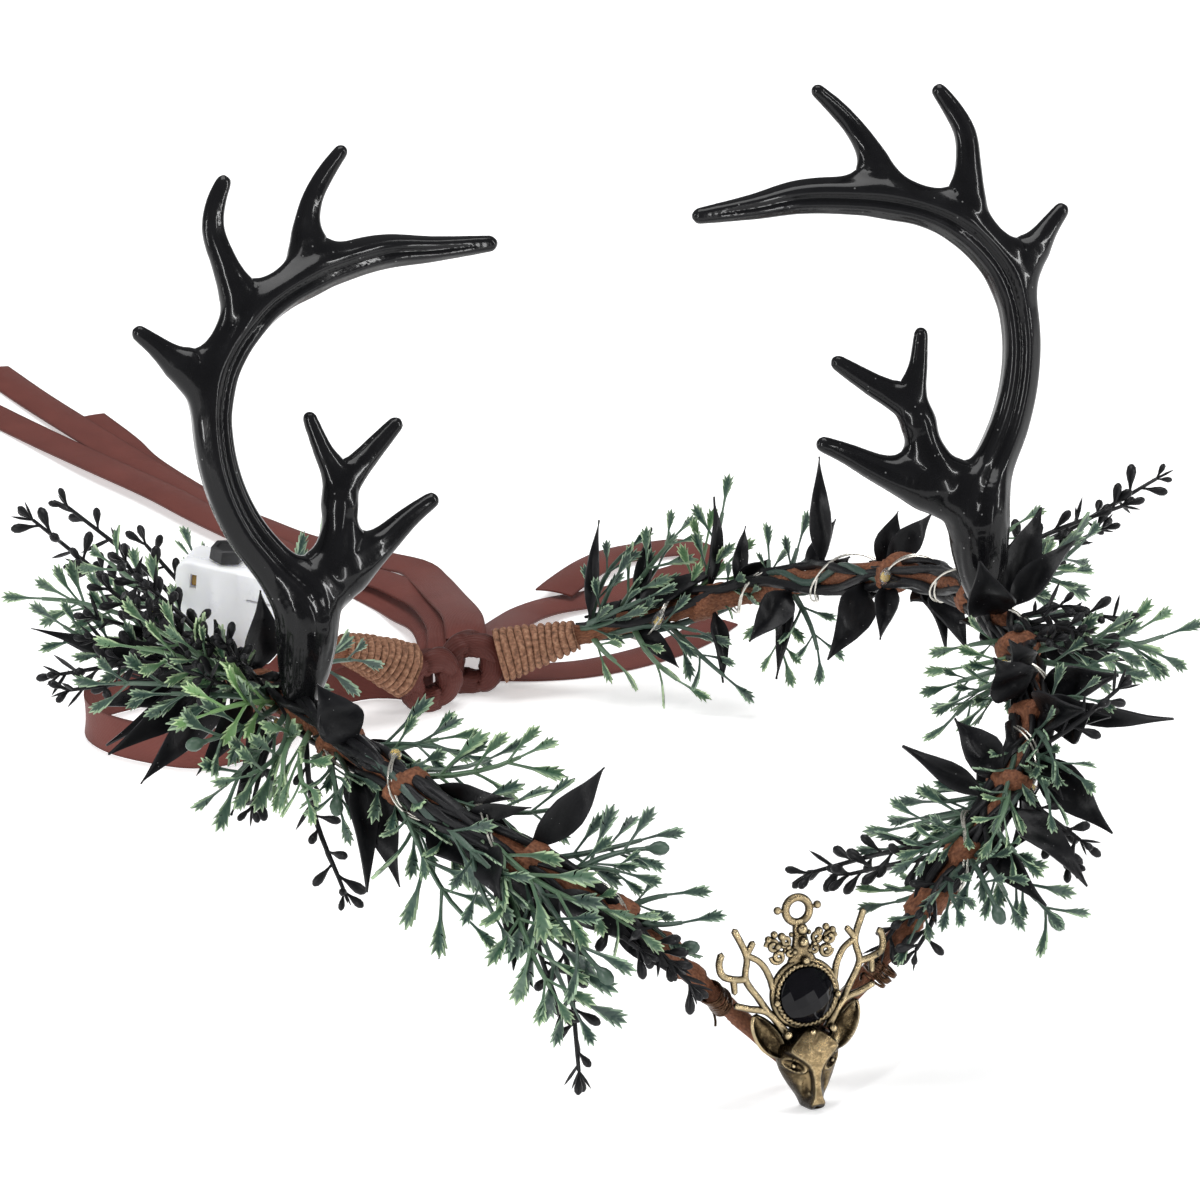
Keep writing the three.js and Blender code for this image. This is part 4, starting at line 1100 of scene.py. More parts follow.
press_flutes(cast)
soften(cast, 0.35)
mirrored = cast.copy()
across = crown_spot(0, 0, 0)
flip = Matrix.Translation(across) @ Matrix.Diagonal((-1, 1, 1, 1)) @ Matrix.Translation(-across)
bmesh.ops.transform(mirrored, matrix=flip, verts=mirrored.verts)
bmesh.ops.recalc_face_normals(mirrored, faces=mirrored.faces)
for side, bm in (("right", cast), ("left", mirrored)):
    finish_piece(f"moulded_antler_{side}", bm, resin, [f"antler_{side}"], crease=180)

# %% [markdown]
# ## The deer-head charm
# The charm is one casting in antiqued bronze, about 48 mm tall: bright where it is
# rubbed and nearly black in its hollows. The head is a relief, so it starts as a
# flat grid whose points rise towards the viewer, and its border is then pulled
# back to a flat rear. Tines, rope edge and ring are rolled tubes, and the rest are
# small balls and curls, all placed in the charm's own leaning plane.

# %% Antiqued bronze
PENDANT = {"chin_y": -131.0, "lift": -0.4, "lean": 13.0, "tine_depth": 0.6}
LEAN = Matrix.Rotation(math.radians(-PENDANT["lean"]), 3, "X")
CHARM_FRONT = LEAN @ Vector((0, -1, 0))
CHARM_RIGHT, CHARM_TOP = Vector((1, 0, 0)), LEAN @ UP

bronze, tree, shader = start_material("antiqued bronze", {"Metallic": 1.0})
cloud = place_group(tree, MOTTLE, {"Scale": 420.0})
edges = place_group(tree, WEAR_AND_LIGHT_EDGES, {"Spread": 0.16})
shelter = add_node(tree, "AmbientOcclusion", {"samples": 8}, {"Distance": 0.0036}).outputs["AO"]
skin = add_node(tree, "NewGeometry").outputs["Normal"]
forward = add_node(
    tree, "VectorMath", {"operation": "DOT_PRODUCT"}, {0: skin, 1: CHARM_FRONT}
).outputs["Value"]
open_share = math_node(
    tree, "MULTIPLY", ramp(tree, shelter, [(0.5, 0.0), (0.96, 1.0)]),
    ramp(tree, forward, [(0.5, 0.08), (0.97, 1.0)]),
)
patched = math_node(
    tree, "MULTIPLY", open_share, ramp(tree, cloud["Shade"], [(0.38, 0.25), (0.6, 1.0)])
)
cleared = math_node(tree, "SUBTRACT", patched, math_node(tree, "MULTIPLY", edges["Hollow"], 0.8))
aged = mix(tree, cleared, (0.014, 0.0095, 0.0055), (0.39, 0.285, 0.15))
rubbed = math_node(tree, "MULTIPLY", edges["Edge"], math_node(tree, "MULTIPLY", open_share, 0.9))
paint(
    tree, shader, mix(tree, rubbed, aged, (0.95, 0.79, 0.5)),
    ramp(tree, cloud["Shade"], [(0.3, 0.36), (0.7, 0.2)]),
)
relief(tree, shader, cloud["Grain"], 0.0003, 0.6)
print("material:", bronze.name)

# %% The charm's own plane
def charm_spot(x, depth, height):
    """A place of the charm: across, towards the viewer and up from the chin."""
    place = LEAN @ Vector((x, -depth, height)) + Vector((0, PENDANT["chin_y"], PENDANT["lift"]))
    return crown_spot(*place)


def add_ball(bm, place, radius, segments=12, squash=1.0):
    """A small ball; the squash flattens it towards the charm's plane."""
    turned = Matrix((CHARM_RIGHT, -CHARM_FRONT, CHARM_TOP)).transposed().to_4x4()
    shape = Matrix.Translation(place) @ turned @ Matrix.Diagonal((1, squash, 1, 1))
    bmesh.ops.create_uvsphere(
        bm, u_segments=segments, v_segments=segments // 2 + 2, radius=radius * MM, matrix=shape
    )


charm = bmesh.new()

# %% The head as a relief
HEAD_ROWS = [  # height above the chin, half width, front depth, half width of the raised bridge
    (0.0, 1.5, 2.2, 1.2), (0.7, 2.3, 3.7, 1.8), (1.8, 2.7, 4.5, 1.9), (3.2, 3.3, 4.7, 1.2),
    (5.2, 4.5, 4.7, 0.9), (7.4, 5.7, 4.8, 0.95), (9.2, 6.5, 5.0, 1.3), (10.6, 6.9, 5.2, 2.0),
    (11.8, 7.1, 5.3, 3.2), (13.0, 7.0, 5.3, 4.8), (14.0, 6.8, 5.2, 5.9), (15.0, 6.3, 4.8, 5.5),
    (16.2, 5.5, 4.3, 4.2), (17.4, 4.4, 3.5, 2.6), (18.6, 2.8, 2.0, 0.8),
]
EYE_SPOT = {"x": 4.5, "height": 10.7, "long": 2.5, "tall": 1.15, "slant": 30.0, "pupil": 0.6}
HEAD_REAR = -1.4
HEAD_GRID = {"columns": 56, "rows": 72}
head_table = np.array(HEAD_ROWS).T


def head_depth(x, height):
    """How far the face stands forward: cheeks, raised bridge and forehead, lids and sockets."""
    wide, front, bridge = (np.interp(height, head_table[0], column) for column in head_table[1:])
    u = min(1.0, abs(x) / wide)
    cheek = front * (1 - u**2.3) ** 0.6 - 1.0
    edge = min(1.0, max(0.0, (bridge + 0.35 - abs(x)) / 0.7))
    raised = edge * edge * (3 - 2 * edge)
    crown = front * (1 - (0.62 * u) ** 2.2) ** 0.6 + 0.25
    depth = cheek + (crown - cheek) * raised
    slant = math.radians(EYE_SPOT["slant"])
    dx, dz = abs(x) - EYE_SPOT["x"], height - EYE_SPOT["height"]
    along = (dx * math.cos(slant) + dz * math.sin(slant)) / EYE_SPOT["long"]
    over = (dz * math.cos(slant) - dx * math.sin(slant)) / EYE_SPOT["tall"]
    ring = math.hypot(along, over)
    depth += 0.62 * math.exp(-(((ring - 1.0) / 0.2) ** 2)) - 0.55 * math.exp(-((ring / 0.8) ** 4))
    nostril = math.exp(-((x / 0.75) ** 2) - ((height - 0.75) / 0.42) ** 2)
    flank = math.exp(-(((abs(x) - 2.3) / 0.7) ** 2) - ((height - 5.0) / 2.6) ** 2)
    return max(depth - 1.5 * nostril - 0.8 * flank, -0.6)


head = bmesh.new()
bmesh.ops.create_grid(head, x_segments=HEAD_GRID["columns"], y_segments=HEAD_GRID["rows"], size=1.0)
for corner in head.verts:
    height = (corner.co.y + 1) / 2 * HEAD_ROWS[-1][0]
    x = corner.co.x * float(np.interp(height, head_table[0], head_table[1]))
    corner.co = charm_spot(x, head_depth(x, height), height)
rim = [edge for edge in head.edges if edge.is_boundary]
pulled = bmesh.ops.extrude_edge_only(head, edges=rim)["geom"]
for corner in [item for item in pulled if isinstance(item, bmesh.types.BMVert)]:
    ahead = (corner.co - charm_spot(0, HEAD_REAR, 0)).dot(CHARM_FRONT)
    corner.co -= CHARM_FRONT * ahead
close_up(head)
soften(head, 0.4)
print("head relief:", len(head.faces), "faces")
join_into(charm, head)
for side in (1, -1):
    x, height = side * (EYE_SPOT["x"] - 0.1), EYE_SPOT["height"] - 0.1
    add_ball(charm, charm_spot(x, head_depth(x, height) + 0.15, height), EYE_SPOT["pupil"], 10)

# %% Ears, tines and scrolls
EAR_ROWS = [  # x, height, half width, hollow
    (5.6, 12.4, 0.7, 0.0), (7.1, 14.3, 1.9, 0.8), (8.6, 16.5, 2.4, 1.4), (10.0, 18.8, 2.1, 1.3),
    (11.1, 20.9, 1.2, 0.7), (11.6, 22.2, 0.15, 0.0),
]
CHARM_TINES = {  # x, height, width
    "lower": [(4.6, 17.2, 2.2), (8.8, 22.8, 2), (13, 24.2, 1.8), (16.6, 25.6, 1.7)],
    "stem": [(8.6, 22.6, 2), (10.5, 26, 1.8), (13.2, 30.8, 1.8), (12.6, 35.6, 1.7), (15.2, 42.4, 1.9)],
    "hook": [(13.2, 30.8, 1.8), (16, 31.2, 1.9), (18.4, 32.4, 1.9), (19, 34.8, 1.8), (18.1, 37.6, 2.0)],
    "spur": [(16, 31.4, 1.8), (15.9, 27.6, 1.6)],
    "inner": [(12.6, 36, 1.7), (9.8, 34.2, 1.7), (7.9, 31, 1.8), (7, 27, 1.8)],
    "fork": [(12.6, 36, 1.7), (10.6, 39, 1.8)],
}
CHARM_BALLS = [  # x, height, depth, radius; mirrored where x is not near the middle
    (5.2, 17.5, 2.6, 1.05), (4.6, 44.6, 0.3, 0.9), (7.0, 24.8, 2.2, 0.85), (0.3, 17.4, 3.2, 0.85),
    (0.3, 33.2, 2.4, 0.95), (0.2, 37.3, 2.0, 1.2), (0.3, 40.0, 1.4, 1.3), (4.3, 38.9, 0.9, 0.95),
    (6.0, 39.6, 0.9, 0.85), (7.4, 38.7, 0.9, 0.85), (3.0, 36.4, 1.0, 0.75), (5.6, 37.0, 1.5, 0.8),
    (1.7, 35.2, 1.2, 0.7), (2.0, 39.0, 0.7, 0.6),
]
SCROLLS = [  # x, height, reach, tube, hand
    (6.6, 37.2, 1.45, 0.6, 1), (5.6, 34.7, 1.5, 0.6, -1), (3.7, 37.8, 1.3, 0.55, -1),
    (2.9, 35.2, 1.1, 0.5, 1),
]
EAR = {"columns": 12, "rows": 14, "thick": 0.7}

for side in (1, -1):
    rows = [(*charm_spot(side * x, -0.5, height), wide, hollow) for x, height, wide, hollow in EAR_ROWS]
    route = Route(rows)
    rings = rings_along(route, EAR["rows"] + 1, CHARM_FRONT)
    ear = bmesh.new()
    bmesh.ops.create_grid(ear, x_segments=EAR["columns"], y_segments=EAR["rows"], size=1.0)
    for corner in ear.verts:
        ring = rings[round((corner.co.y + 1) / 2 * EAR["rows"])]
        u = corner.co.x
        lip = 0.5 * math.exp(-(((abs(u) - 0.92) / 0.12) ** 2))
        deep = 0.9 - ring.size[1] * (1 - u * u) + lip
        corner.co = ring.at + (ring.side * u * ring.size[0] + ring.out * deep) * MM
    bmesh.ops.recalc_face_normals(ear, faces=ear.faces)
    bmesh.ops.solidify(ear, geom=ear.faces[:], thickness=EAR["thick"] * MM)
    join_into(charm, ear)
    for rows in CHARM_TINES.values():
        route = Route(
            [(*charm_spot(side * x, PENDANT["tine_depth"], height), wide) for x, height, wide in rows]
        )
        rings = rings_along(route, max(8, round(route.length / 0.7)), CHARM_FRONT)

        def tine_radius(turn, ring, end=route.length):
            knots = 0.1 * noise.noise((3 * math.cos(turn), 3 * math.sin(turn), ring.run * 0.9))
            return 0.44 * ring.size[0] * (1 + knots) * tip_rounding(ring, end)
        roll_tube(charm, rings, 10, round_section(tine_radius))
    for x, height, reach, tube, hand in SCROLLS:
        rows = []
        for share in np.linspace(0, 1, 14):
            angle, away = hand * 3 * math.pi * share, reach * (1 - 0.82 * share)
            place = (
                side * (x + away * math.cos(angle)), 0.7 + 0.9 * share, height + away * math.sin(angle)
            )
            rows.append((*charm_spot(*place), 2 * tube))
        blunt_tube(charm, Route(rows), 30, 9, CHARM_FRONT)
    for x, height, depth, radius in CHARM_BALLS:
        if side > 0 or x > 1:
            add_ball(charm, charm_spot(side * x, depth, height), radius)

# %% Bezel, neck, crest and hanging ring
BEZEL = {"height": 25.6, "ring": 6.6, "tube": 0.55, "depth": 1.7, "strands": 40}
BEZEL_RING = {"height": 25.6, "ring": 7.2, "tube": 0.9, "depth": 0.6}
HANGER = {"height": 44.1, "ring": 2.75, "tube": 0.92, "depth": 0.2}
BARS = {  # depth, height, width
    "neck": [(0.3, 15.0, 6.0), (0.4, 17.6, 4.2), (0.2, 20.0, 3.4)],
    "crest": [(0.3, 31.6, 8.0), (0.5, 34.6, 5.4), (0.5, 37.6, 3.6), (0.2, 42.0, 2.6)],
}


def rope_radius(turn, ring):
    """Radius of the bezel's rope edge: its strands run round it on a slant."""
    strand = 2 * math.pi * BEZEL["strands"] * ring.share + 2 * turn
    return BEZEL["tube"] * (1 + 0.24 * math.cos(strand))


def charm_hoop(sizes, steps, around, radius):
    """A hoop of tube that lies in the charm's plane."""
    middle = charm_spot(0, sizes["depth"], sizes["height"])
    rings = circle_rings(middle, CHARM_RIGHT, CHARM_TOP, sizes["ring"], steps)
    roll_tube(charm, rings, around, round_section(radius))


charm_hoop(BEZEL, 272, 10, rope_radius)
charm_hoop(BEZEL_RING, 64, 12, BEZEL_RING["tube"])
charm_hoop(HANGER, 48, 14, HANGER["tube"])
facing = Matrix((CHARM_RIGHT, CHARM_TOP, CHARM_FRONT)).transposed().to_4x4()
plate_at = Matrix.Translation(charm_spot(0, 0.0, BEZEL["height"])) @ facing
plate = {"radius1": BEZEL["ring"] * MM, "radius2": BEZEL["ring"] * MM, "depth": 1.3 * MM}
bmesh.ops.create_cone(charm, cap_ends=True, segments=48, matrix=plate_at, **plate)
for rows in BARS.values():
    route = Route([(*charm_spot(0, depth, height), wide) for depth, height, wide in rows])
    rings = rings_along(route, 14, CHARM_FRONT)
    roll_tube(
        charm, rings, 14, lambda turn, ring: (1.2 * math.cos(turn), ring.size[0] / 2 * math.sin(turn))
    )
for side in (1, -1):
    route = Route([charm_spot(side * x, 0.2, 44.4) for x in (2.8, 3.6, 4.4)])
    roll_tube(charm, rings_along(route, 5, CHARM_FRONT), 8, round_section(0.45))
finish_piece("cast_charm", charm, bronze, ["pendant"], crease=60)

# %% [markdown]
# ## The faceted stone
# A round black stone with a chequerboard cut sits in the bezel. A square grid of
# five by five facets is pressed into a disc and domed. Its faces stay flat, so each
# facet mirrors its own part of the room, and the border is pulled back as a girdle.

# %% Black stone
stone_black = cloudy_material(
    "black stone", {"Specular IOR Level": 0.2}, 240.0,
    [(0.0022, 0.0022, 0.003), (0.0062, 0.006, 0.008)], (0.04, 0.09),
)

STONE = {"radius": 6.05, "girdle": 1.4, "dome": 2.7, "base": 1.0, "facets": 5, "turned": 24.0}
stone = bmesh.new()
bmesh.ops.create_grid(stone, x_segments=STONE["facets"], y_segments=STONE["facets"], size=1.0)
for corner in stone.verts:
    x, y = corner.co.x, corner.co.y
    disc = Vector((x * math.sqrt(1 - y * y / 2), y * math.sqrt(1 - x * x / 2), 0))
    disc.rotate(Matrix.Rotation(math.radians(STONE["turned"]), 3, "Z"))
    rise = STONE["base"] + STONE["girdle"] + STONE["dome"] * max(0.0, 1 - disc.length_squared) ** 0.75
    corner.co = charm_spot(disc.x * STONE["radius"], rise, BEZEL["height"] + disc.y * STONE["radius"])
border = [edge for edge in stone.edges if edge.is_boundary]
pulled = bmesh.ops.extrude_edge_only(stone, edges=border)["geom"]
for corner in [item for item in pulled if isinstance(item, bmesh.types.BMVert)]:
    corner.co -= CHARM_FRONT * STONE["girdle"] * MM
close_up(stone)
finish_piece("faceted_stone", stone, stone_black, ["pendant_stone"], crease=1)

# %% [markdown]
# ## Wire that ties the charm
# Thin dark copper wire is wound by hand round each lower tine and the branch behind
# it, with a loose end sticking out. It is one tube along a coil; the turns drift and
# cross a little, because hand-wound turns never lie quite even.

# %% Copper wire coils
copper = cloudy_material(
    "copper wire", {"Metallic": 1.0}, 500.0,
    [(0.016, 0.009, 0.006), (0.13, 0.07, 0.04)], (0.2, 0.36), "Grain",
)

TIE_ALONG = {"left": 315, "right": 319}
TIE = {"long": 4.6, "turns": 8, "reach": (2.5, 4.7), "forward": 2.3, "wire": 0.6}


def coil_places(side):
    """Places along a hand-wound coil with one loose end."""
    at, along = BRANCHES[side].place(TIE_ALONG[side])
    back = Vector((0, 1, 0))
    across = back.cross(along).normalized()
    places = []
    for step in np.linspace(0, 1, TIE["turns"] * 14 + 1):
        angle = 2 * math.pi * TIE["turns"] * step
        slow, quick = math.sin(5.3 * angle / TIE["turns"]), math.sin(0.37 * angle)
        drift = TIE["long"] * (step - 0.5) + 0.25 * slow + 0.15 * quick
        wide, deep = (reach + 0.22 * math.sin(1.9 * angle + 1) for reach in TIE["reach"])
        behind = deep * math.sin(angle) - TIE["forward"]
        spoke = across * wide * math.cos(angle) + back * behind + along * drift
        places.append(at + spoke * MM)
    loose = places[-1] + (across * 0.8 - back * 1.4 + along * 0.8) * MM
    return [*places, loose, loose + (across * 0.5 - back * 0.9 - UP * 0.9) * MM]


for side in BRANCHES:
    bm = bmesh.new()
    route = Route(coil_places(side))
    rings = rings_along(route, round(route.length / 1.1))
    roll_tube(bm, rings, 7, round_section(TIE["wire"] / 2))
    finish_piece(f"wire_coil_{side}", bm, copper, [f"pendant_tie_{side}"])

# %% [markdown]
# ## The coin-cell box and its button
# A small translucent white box on the left branch feeds the light string. It is a
# bevelled block with a lid seam cut round it, slots that show brass contacts, and a
# black six-sided push button with a dished top.

# %% Box plastic, brass and button black
milky, tree, shader = start_material(
    "milky plastic",
    {"Subsurface Weight": 0.35, "Subsurface Radius": (0.004, 0.004, 0.005), "Subsurface Scale": 1.0},
)
cloud = place_group(tree, MOTTLE, {"Scale": 70.0})
paint(
    tree, shader, mix(tree, cloud["Shade"], (0.88, 0.9, 0.95), (0.96, 0.97, 0.99)),
    ramp(tree, cloud["Shade"], [(0.3, 0.22), (0.7, 0.42)]),
)
relief(tree, shader, cloud["Grain"], 0.0001, 0.3)

brass = cloudy_material(
    "brass contact", {"Metallic": 1.0}, 600.0,
    [(0.2, 0.11, 0.035), (0.55, 0.36, 0.13)], (0.3, 0.5), "Grain",
)

button_black, tree, shader = start_material("button black", {"Specular IOR Level": 0.5})
cloud = place_group(tree, MOTTLE, {"Scale": 700.0})
edges = place_group(tree, WEAR_AND_LIGHT_EDGES, {"Spread": 0.1})
dark = mix(tree, cloud["Shade"], (0.004, 0.004, 0.005), (0.013, 0.013, 0.014))
rubbed = math_node(tree, "MULTIPLY", edges["Edge"], 0.5)
paint(
    tree, shader, mix(tree, rubbed, dark, (0.07, 0.07, 0.075)),
    ramp(tree, cloud["Grain"], [(0.3, 0.35), (0.7, 0.55)]),
)
print("materials:", milky.name, brass.name, button_black.name)

# %% Box, contacts and button
BOX = {"wide": 25.0, "tall": 22.0, "deep": 11.0, "corner": 3.0, "edge": 0.7}
BOX_STANDS = {"at": (-72.4, 48.0, 56.6), "yaw": -38.0, "roll": 5.0}
BOX_SLOTS = [  # x, z, width, height
    (-8.0, 6.5, 1.6, 3.4), (8.0, 5.0, 6.0, 1.6), (11.0, -4.0, 0.9, 8.0),
]
SLOT_DEEP = 2.0
SEAM = {"from_front": 3.4, "wide": 0.5, "deep": 0.35}
BUTTON = {"across": 8.5, "tall": 3.2, "offset": -2.0, "gap": 0.35}
yaw, roll = (math.radians(BOX_STANDS[turn]) for turn in ("yaw", "roll"))
BOX_TURN = Matrix.Rotation(yaw, 4, "Z") @ Matrix.Rotation(roll, 4, "Y")
BOX_FRAME = Matrix.Translation(crown_spot(*BOX_STANDS["at"])) @ BOX_TURN @ Matrix.Scale(MM, 4)
BOX_FRONT = -BOX["deep"] / 2

box = bmesh.new()
bmesh.ops.create_cube(box, size=1.0, matrix=Matrix.Diagonal((BOX["wide"], BOX["deep"], BOX["tall"], 1)))
corners = [edge for edge in box.edges if abs(edge.verts[0].co.y - edge.verts[1].co.y) > 1]
round_edges(box, corners, BOX["corner"], 6)
faces = [edge for edge in box.edges if abs(edge.verts[0].co.y - edge.verts[1].co.y) < 0.01]
round_edges(box, faces, BOX["edge"], 3)
seam_y = BOX_FRONT + SEAM["from_front"]
for y in (seam_y, seam_y + SEAM["wide"]):
    whole = box.verts[:] + box.edges[:] + box.faces[:]
    bmesh.ops.bisect_plane(box, geom=whole, plane_co=(0, y, 0), plane_no=(0, 1, 0))
seam_middle = seam_y + SEAM["wide"] / 2
band = [face for face in box.faces if abs(face.calc_center_median().y - seam_middle) < 0.01]
bmesh.ops.inset_region(box, faces=band, thickness=0.02, depth=-SEAM["deep"], use_even_offset=True)
for x, z, wide, tall in BOX_SLOTS:
    cuts = [((x - wide / 2, 0, 0), (1, 0, 0)), ((x + wide / 2, 0, 0), (1, 0, 0))]
    cuts += [((0, 0, z - tall / 2), (0, 0, 1)), ((0, 0, z + tall / 2), (0, 0, 1))]
    for place, way in cuts:
        front = [face for face in box.faces if face.calc_center_median().y < BOX_FRONT + 0.01]
        lines = list({edge for face in front for edge in face.edges})
        points = list({corner for face in front for corner in face.verts})
        bmesh.ops.bisect_plane(box, geom=front + lines + points, plane_co=place, plane_no=way)
    for face in box.faces:
        middle = face.calc_center_median()
        inside = abs(middle.x - x) < wide / 2 and abs(middle.z - z) < tall / 2
        if inside and middle.y < BOX_FRONT + 0.01:
            sunk = bmesh.ops.extrude_discrete_faces(box, faces=[face])["faces"]
            bmesh.ops.translate(box, verts=sunk[0].verts, vec=(0, SLOT_DEEP, 0))
            break
bmesh.ops.transform(box, matrix=BOX_FRAME, verts=box.verts)
bmesh.ops.recalc_face_normals(box, faces=box.faces)
finish_piece("coin_cell_box", box, milky, ["battery_box"], crease=35)

contacts = bmesh.new()
for x, z, wide, tall in BOX_SLOTS:
    size = Matrix.Diagonal((wide * 0.8, 0.8, tall * 0.8, 1))
    add_block(contacts, Matrix.Translation((x, BOX_FRONT + 1.3, z)) @ size, 0.15)
bmesh.ops.transform(contacts, matrix=BOX_FRAME, verts=contacts.verts)
finish_piece("brass_contacts", contacts, brass)

button = bmesh.new()
stand = Matrix.Translation((BUTTON["offset"], 0, BOX["tall"] / 2 + BUTTON["tall"] / 2 + BUTTON["gap"]))
half = BUTTON["across"] / 2
block = {"radius1": half, "radius2": half * 0.94, "depth": BUTTON["tall"]}
bmesh.ops.create_cone(button, cap_ends=True, segments=6, matrix=stand, **block)
round_edges(button, button.edges[:], 0.35, 3)
lid = max(button.faces, key=lambda face: face.calc_center_median().z)
bmesh.ops.inset_region(button, faces=[lid], thickness=0.8, depth=0)
bmesh.ops.inset_region(button, faces=[lid], thickness=0.3, depth=-0.5)
bmesh.ops.transform(button, matrix=BOX_FRAME, verts=button.verts)
finish_piece("push_button", button, button_black, ["battery_button"], crease=35)

# %% [markdown]
# ## The light string
# Two thin silvery wires run side by side from the box, wind round both branches and
# carry a clear drop of resin with a tiny yellow chip at each light. The wires are
# two tubes beside one winding route; the drops are lathed shapes of glassy resin.

# %% Silver wire, clear drops and chips
silver = cloudy_material(
    "silver wire", {"Metallic": 0.85}, 300.0,
    [(0.55, 0.52, 0.45), (0.86, 0.84, 0.78)], (0.2, 0.4), "Grain",
)
clear = cloudy_material(
    "clear resin", {"Transmission Weight": 0.9, "IOR": 1.45}, 400.0,
    [(0.82, 0.85, 0.86), (0.97, 0.98, 0.98)], (0.04, 0.14),
)
chip = cloudy_material(
    "yellow chip", {"Specular IOR Level": 0.4}, 900.0,
    [(0.62, 0.36, 0.02), (0.85, 0.6, 0.08)], (0.3, 0.5),
)
print("materials:", silver.name, clear.name, chip.name)

# %% Wound wire and lights
WINDING = {"pitch": 29.0, "starts": 112.0, "straight": 40.0, "lift": 2.1, "rear": 30.2, "stops": 12}
WIRE = {"gap": 0.38, "thick": 0.5}
LIGHT = {"every": 62.0, "first": 31.0, "long": 6.2, "wide": 2.9}
CHIP = {"size": (1.8, 1.1, 1.1), "edge": 0.15}


def light_places():
    """Places of the winding route: left branch from the box, behind the V, then the right branch."""
    left, right = BRANCHES["left"], BRANCHES["right"]
    total = left.length - WINDING["starts"] + right.length - WINDING["rear"]
    places = []
    count = round(total / WINDING["pitch"] * WINDING["stops"])
    for run in np.linspace(WINDING["starts"], WINDING["starts"] + total, count):
        on_left = run <= left.length
        here = run if on_left else right.length - (run - left.length)
        at, along = (left if on_left else right).place(here)
        along = along if on_left else -along
        wound = max(0.0, abs(run - left.length) - WINDING["straight"])
        slack = 0.35 * math.sin(run * 0.11) + 0.25 * math.sin(run * 0.31)
        angle = -math.pi / 2 - 2 * math.pi * wound / WINDING["pitch"] - 0.35 * math.sin(run * 0.07)
        rise = square_to(UP, along)
        reach = branch_core(here) + WINDING["lift"] + slack
        spoke = rise * math.cos(angle) + along.cross(rise) * math.sin(angle)
        places.append(at + spoke * reach * MM)
    return places


light_route = Route(light_places())
wire_rings = rings_along(light_route, round(light_route.length / 1.3))
wires = bmesh.new()
for beside in (-1, 1):
    moved = []
    for ring in wire_rings:
        sway = beside * WIRE["gap"] * (1 + 0.5 * math.sin(ring.run * 0.23))
        moved.append(ring._replace(at=ring.at + ring.side * sway * MM))
    roll_tube(wires, moved, 6, round_section(WIRE["thick"] / 2))
finish_piece("twin_light_wire", wires, silver, ["light_wire"])

drops, chips = bmesh.new(), bmesh.new()
for run in np.arange(LIGHT["first"], light_route.length - LIGHT["long"], LIGHT["every"]):
    half = LIGHT["long"] / 2
    rings = rings_along(light_route, 13, start=run - half, end=run + half)

    def drop_radius(turn, ring):
        return LIGHT["wide"] / 2 * math.sin(math.pi * ring.share) ** 0.6
    roll_tube(drops, rings, 12, round_section(drop_radius))
    at, along = light_route.place(run)
    out = square_to(UP, along)
    turned = Matrix((along, out, along.cross(out))).transposed().to_4x4()
    size = Matrix.Diagonal((*(side * MM for side in CHIP["size"]), 1))
    add_block(chips, Matrix.Translation(at) @ turned @ size, CHIP["edge"] * MM)
finish_piece("clear_light_drops", drops, clear)
finish_piece("light_chips", chips, chip)

# %% [markdown]
# ## Black leaf sprigs
# Lance-shaped leaves in satin black plastic stand in groups where a sprig is bound
# on, and some lie on top of the branch. A leaf is a small grid laid along a bowed
# line from the branch to the tip seen in the photograph: thin as a stalk at first,
# then a blade with a creased midrib and lightly rolled edges. A solidify gives it
# its moulded thickness.

# %% Leaves
LEAF = {"columns": 6, "rows": 18, "thick": 0.55}
BLADE_OUTLINE = [  # share of the length from foot to tip, share of the full half width
    (0.0, 0.12), (0.08, 0.2), (0.15, 0.48), (0.24, 0.8), (0.36, 1.0), (0.5, 0.93), (0.66, 0.66),
    (0.8, 0.35), (0.92, 0.12), (1.0, 0.01),
]
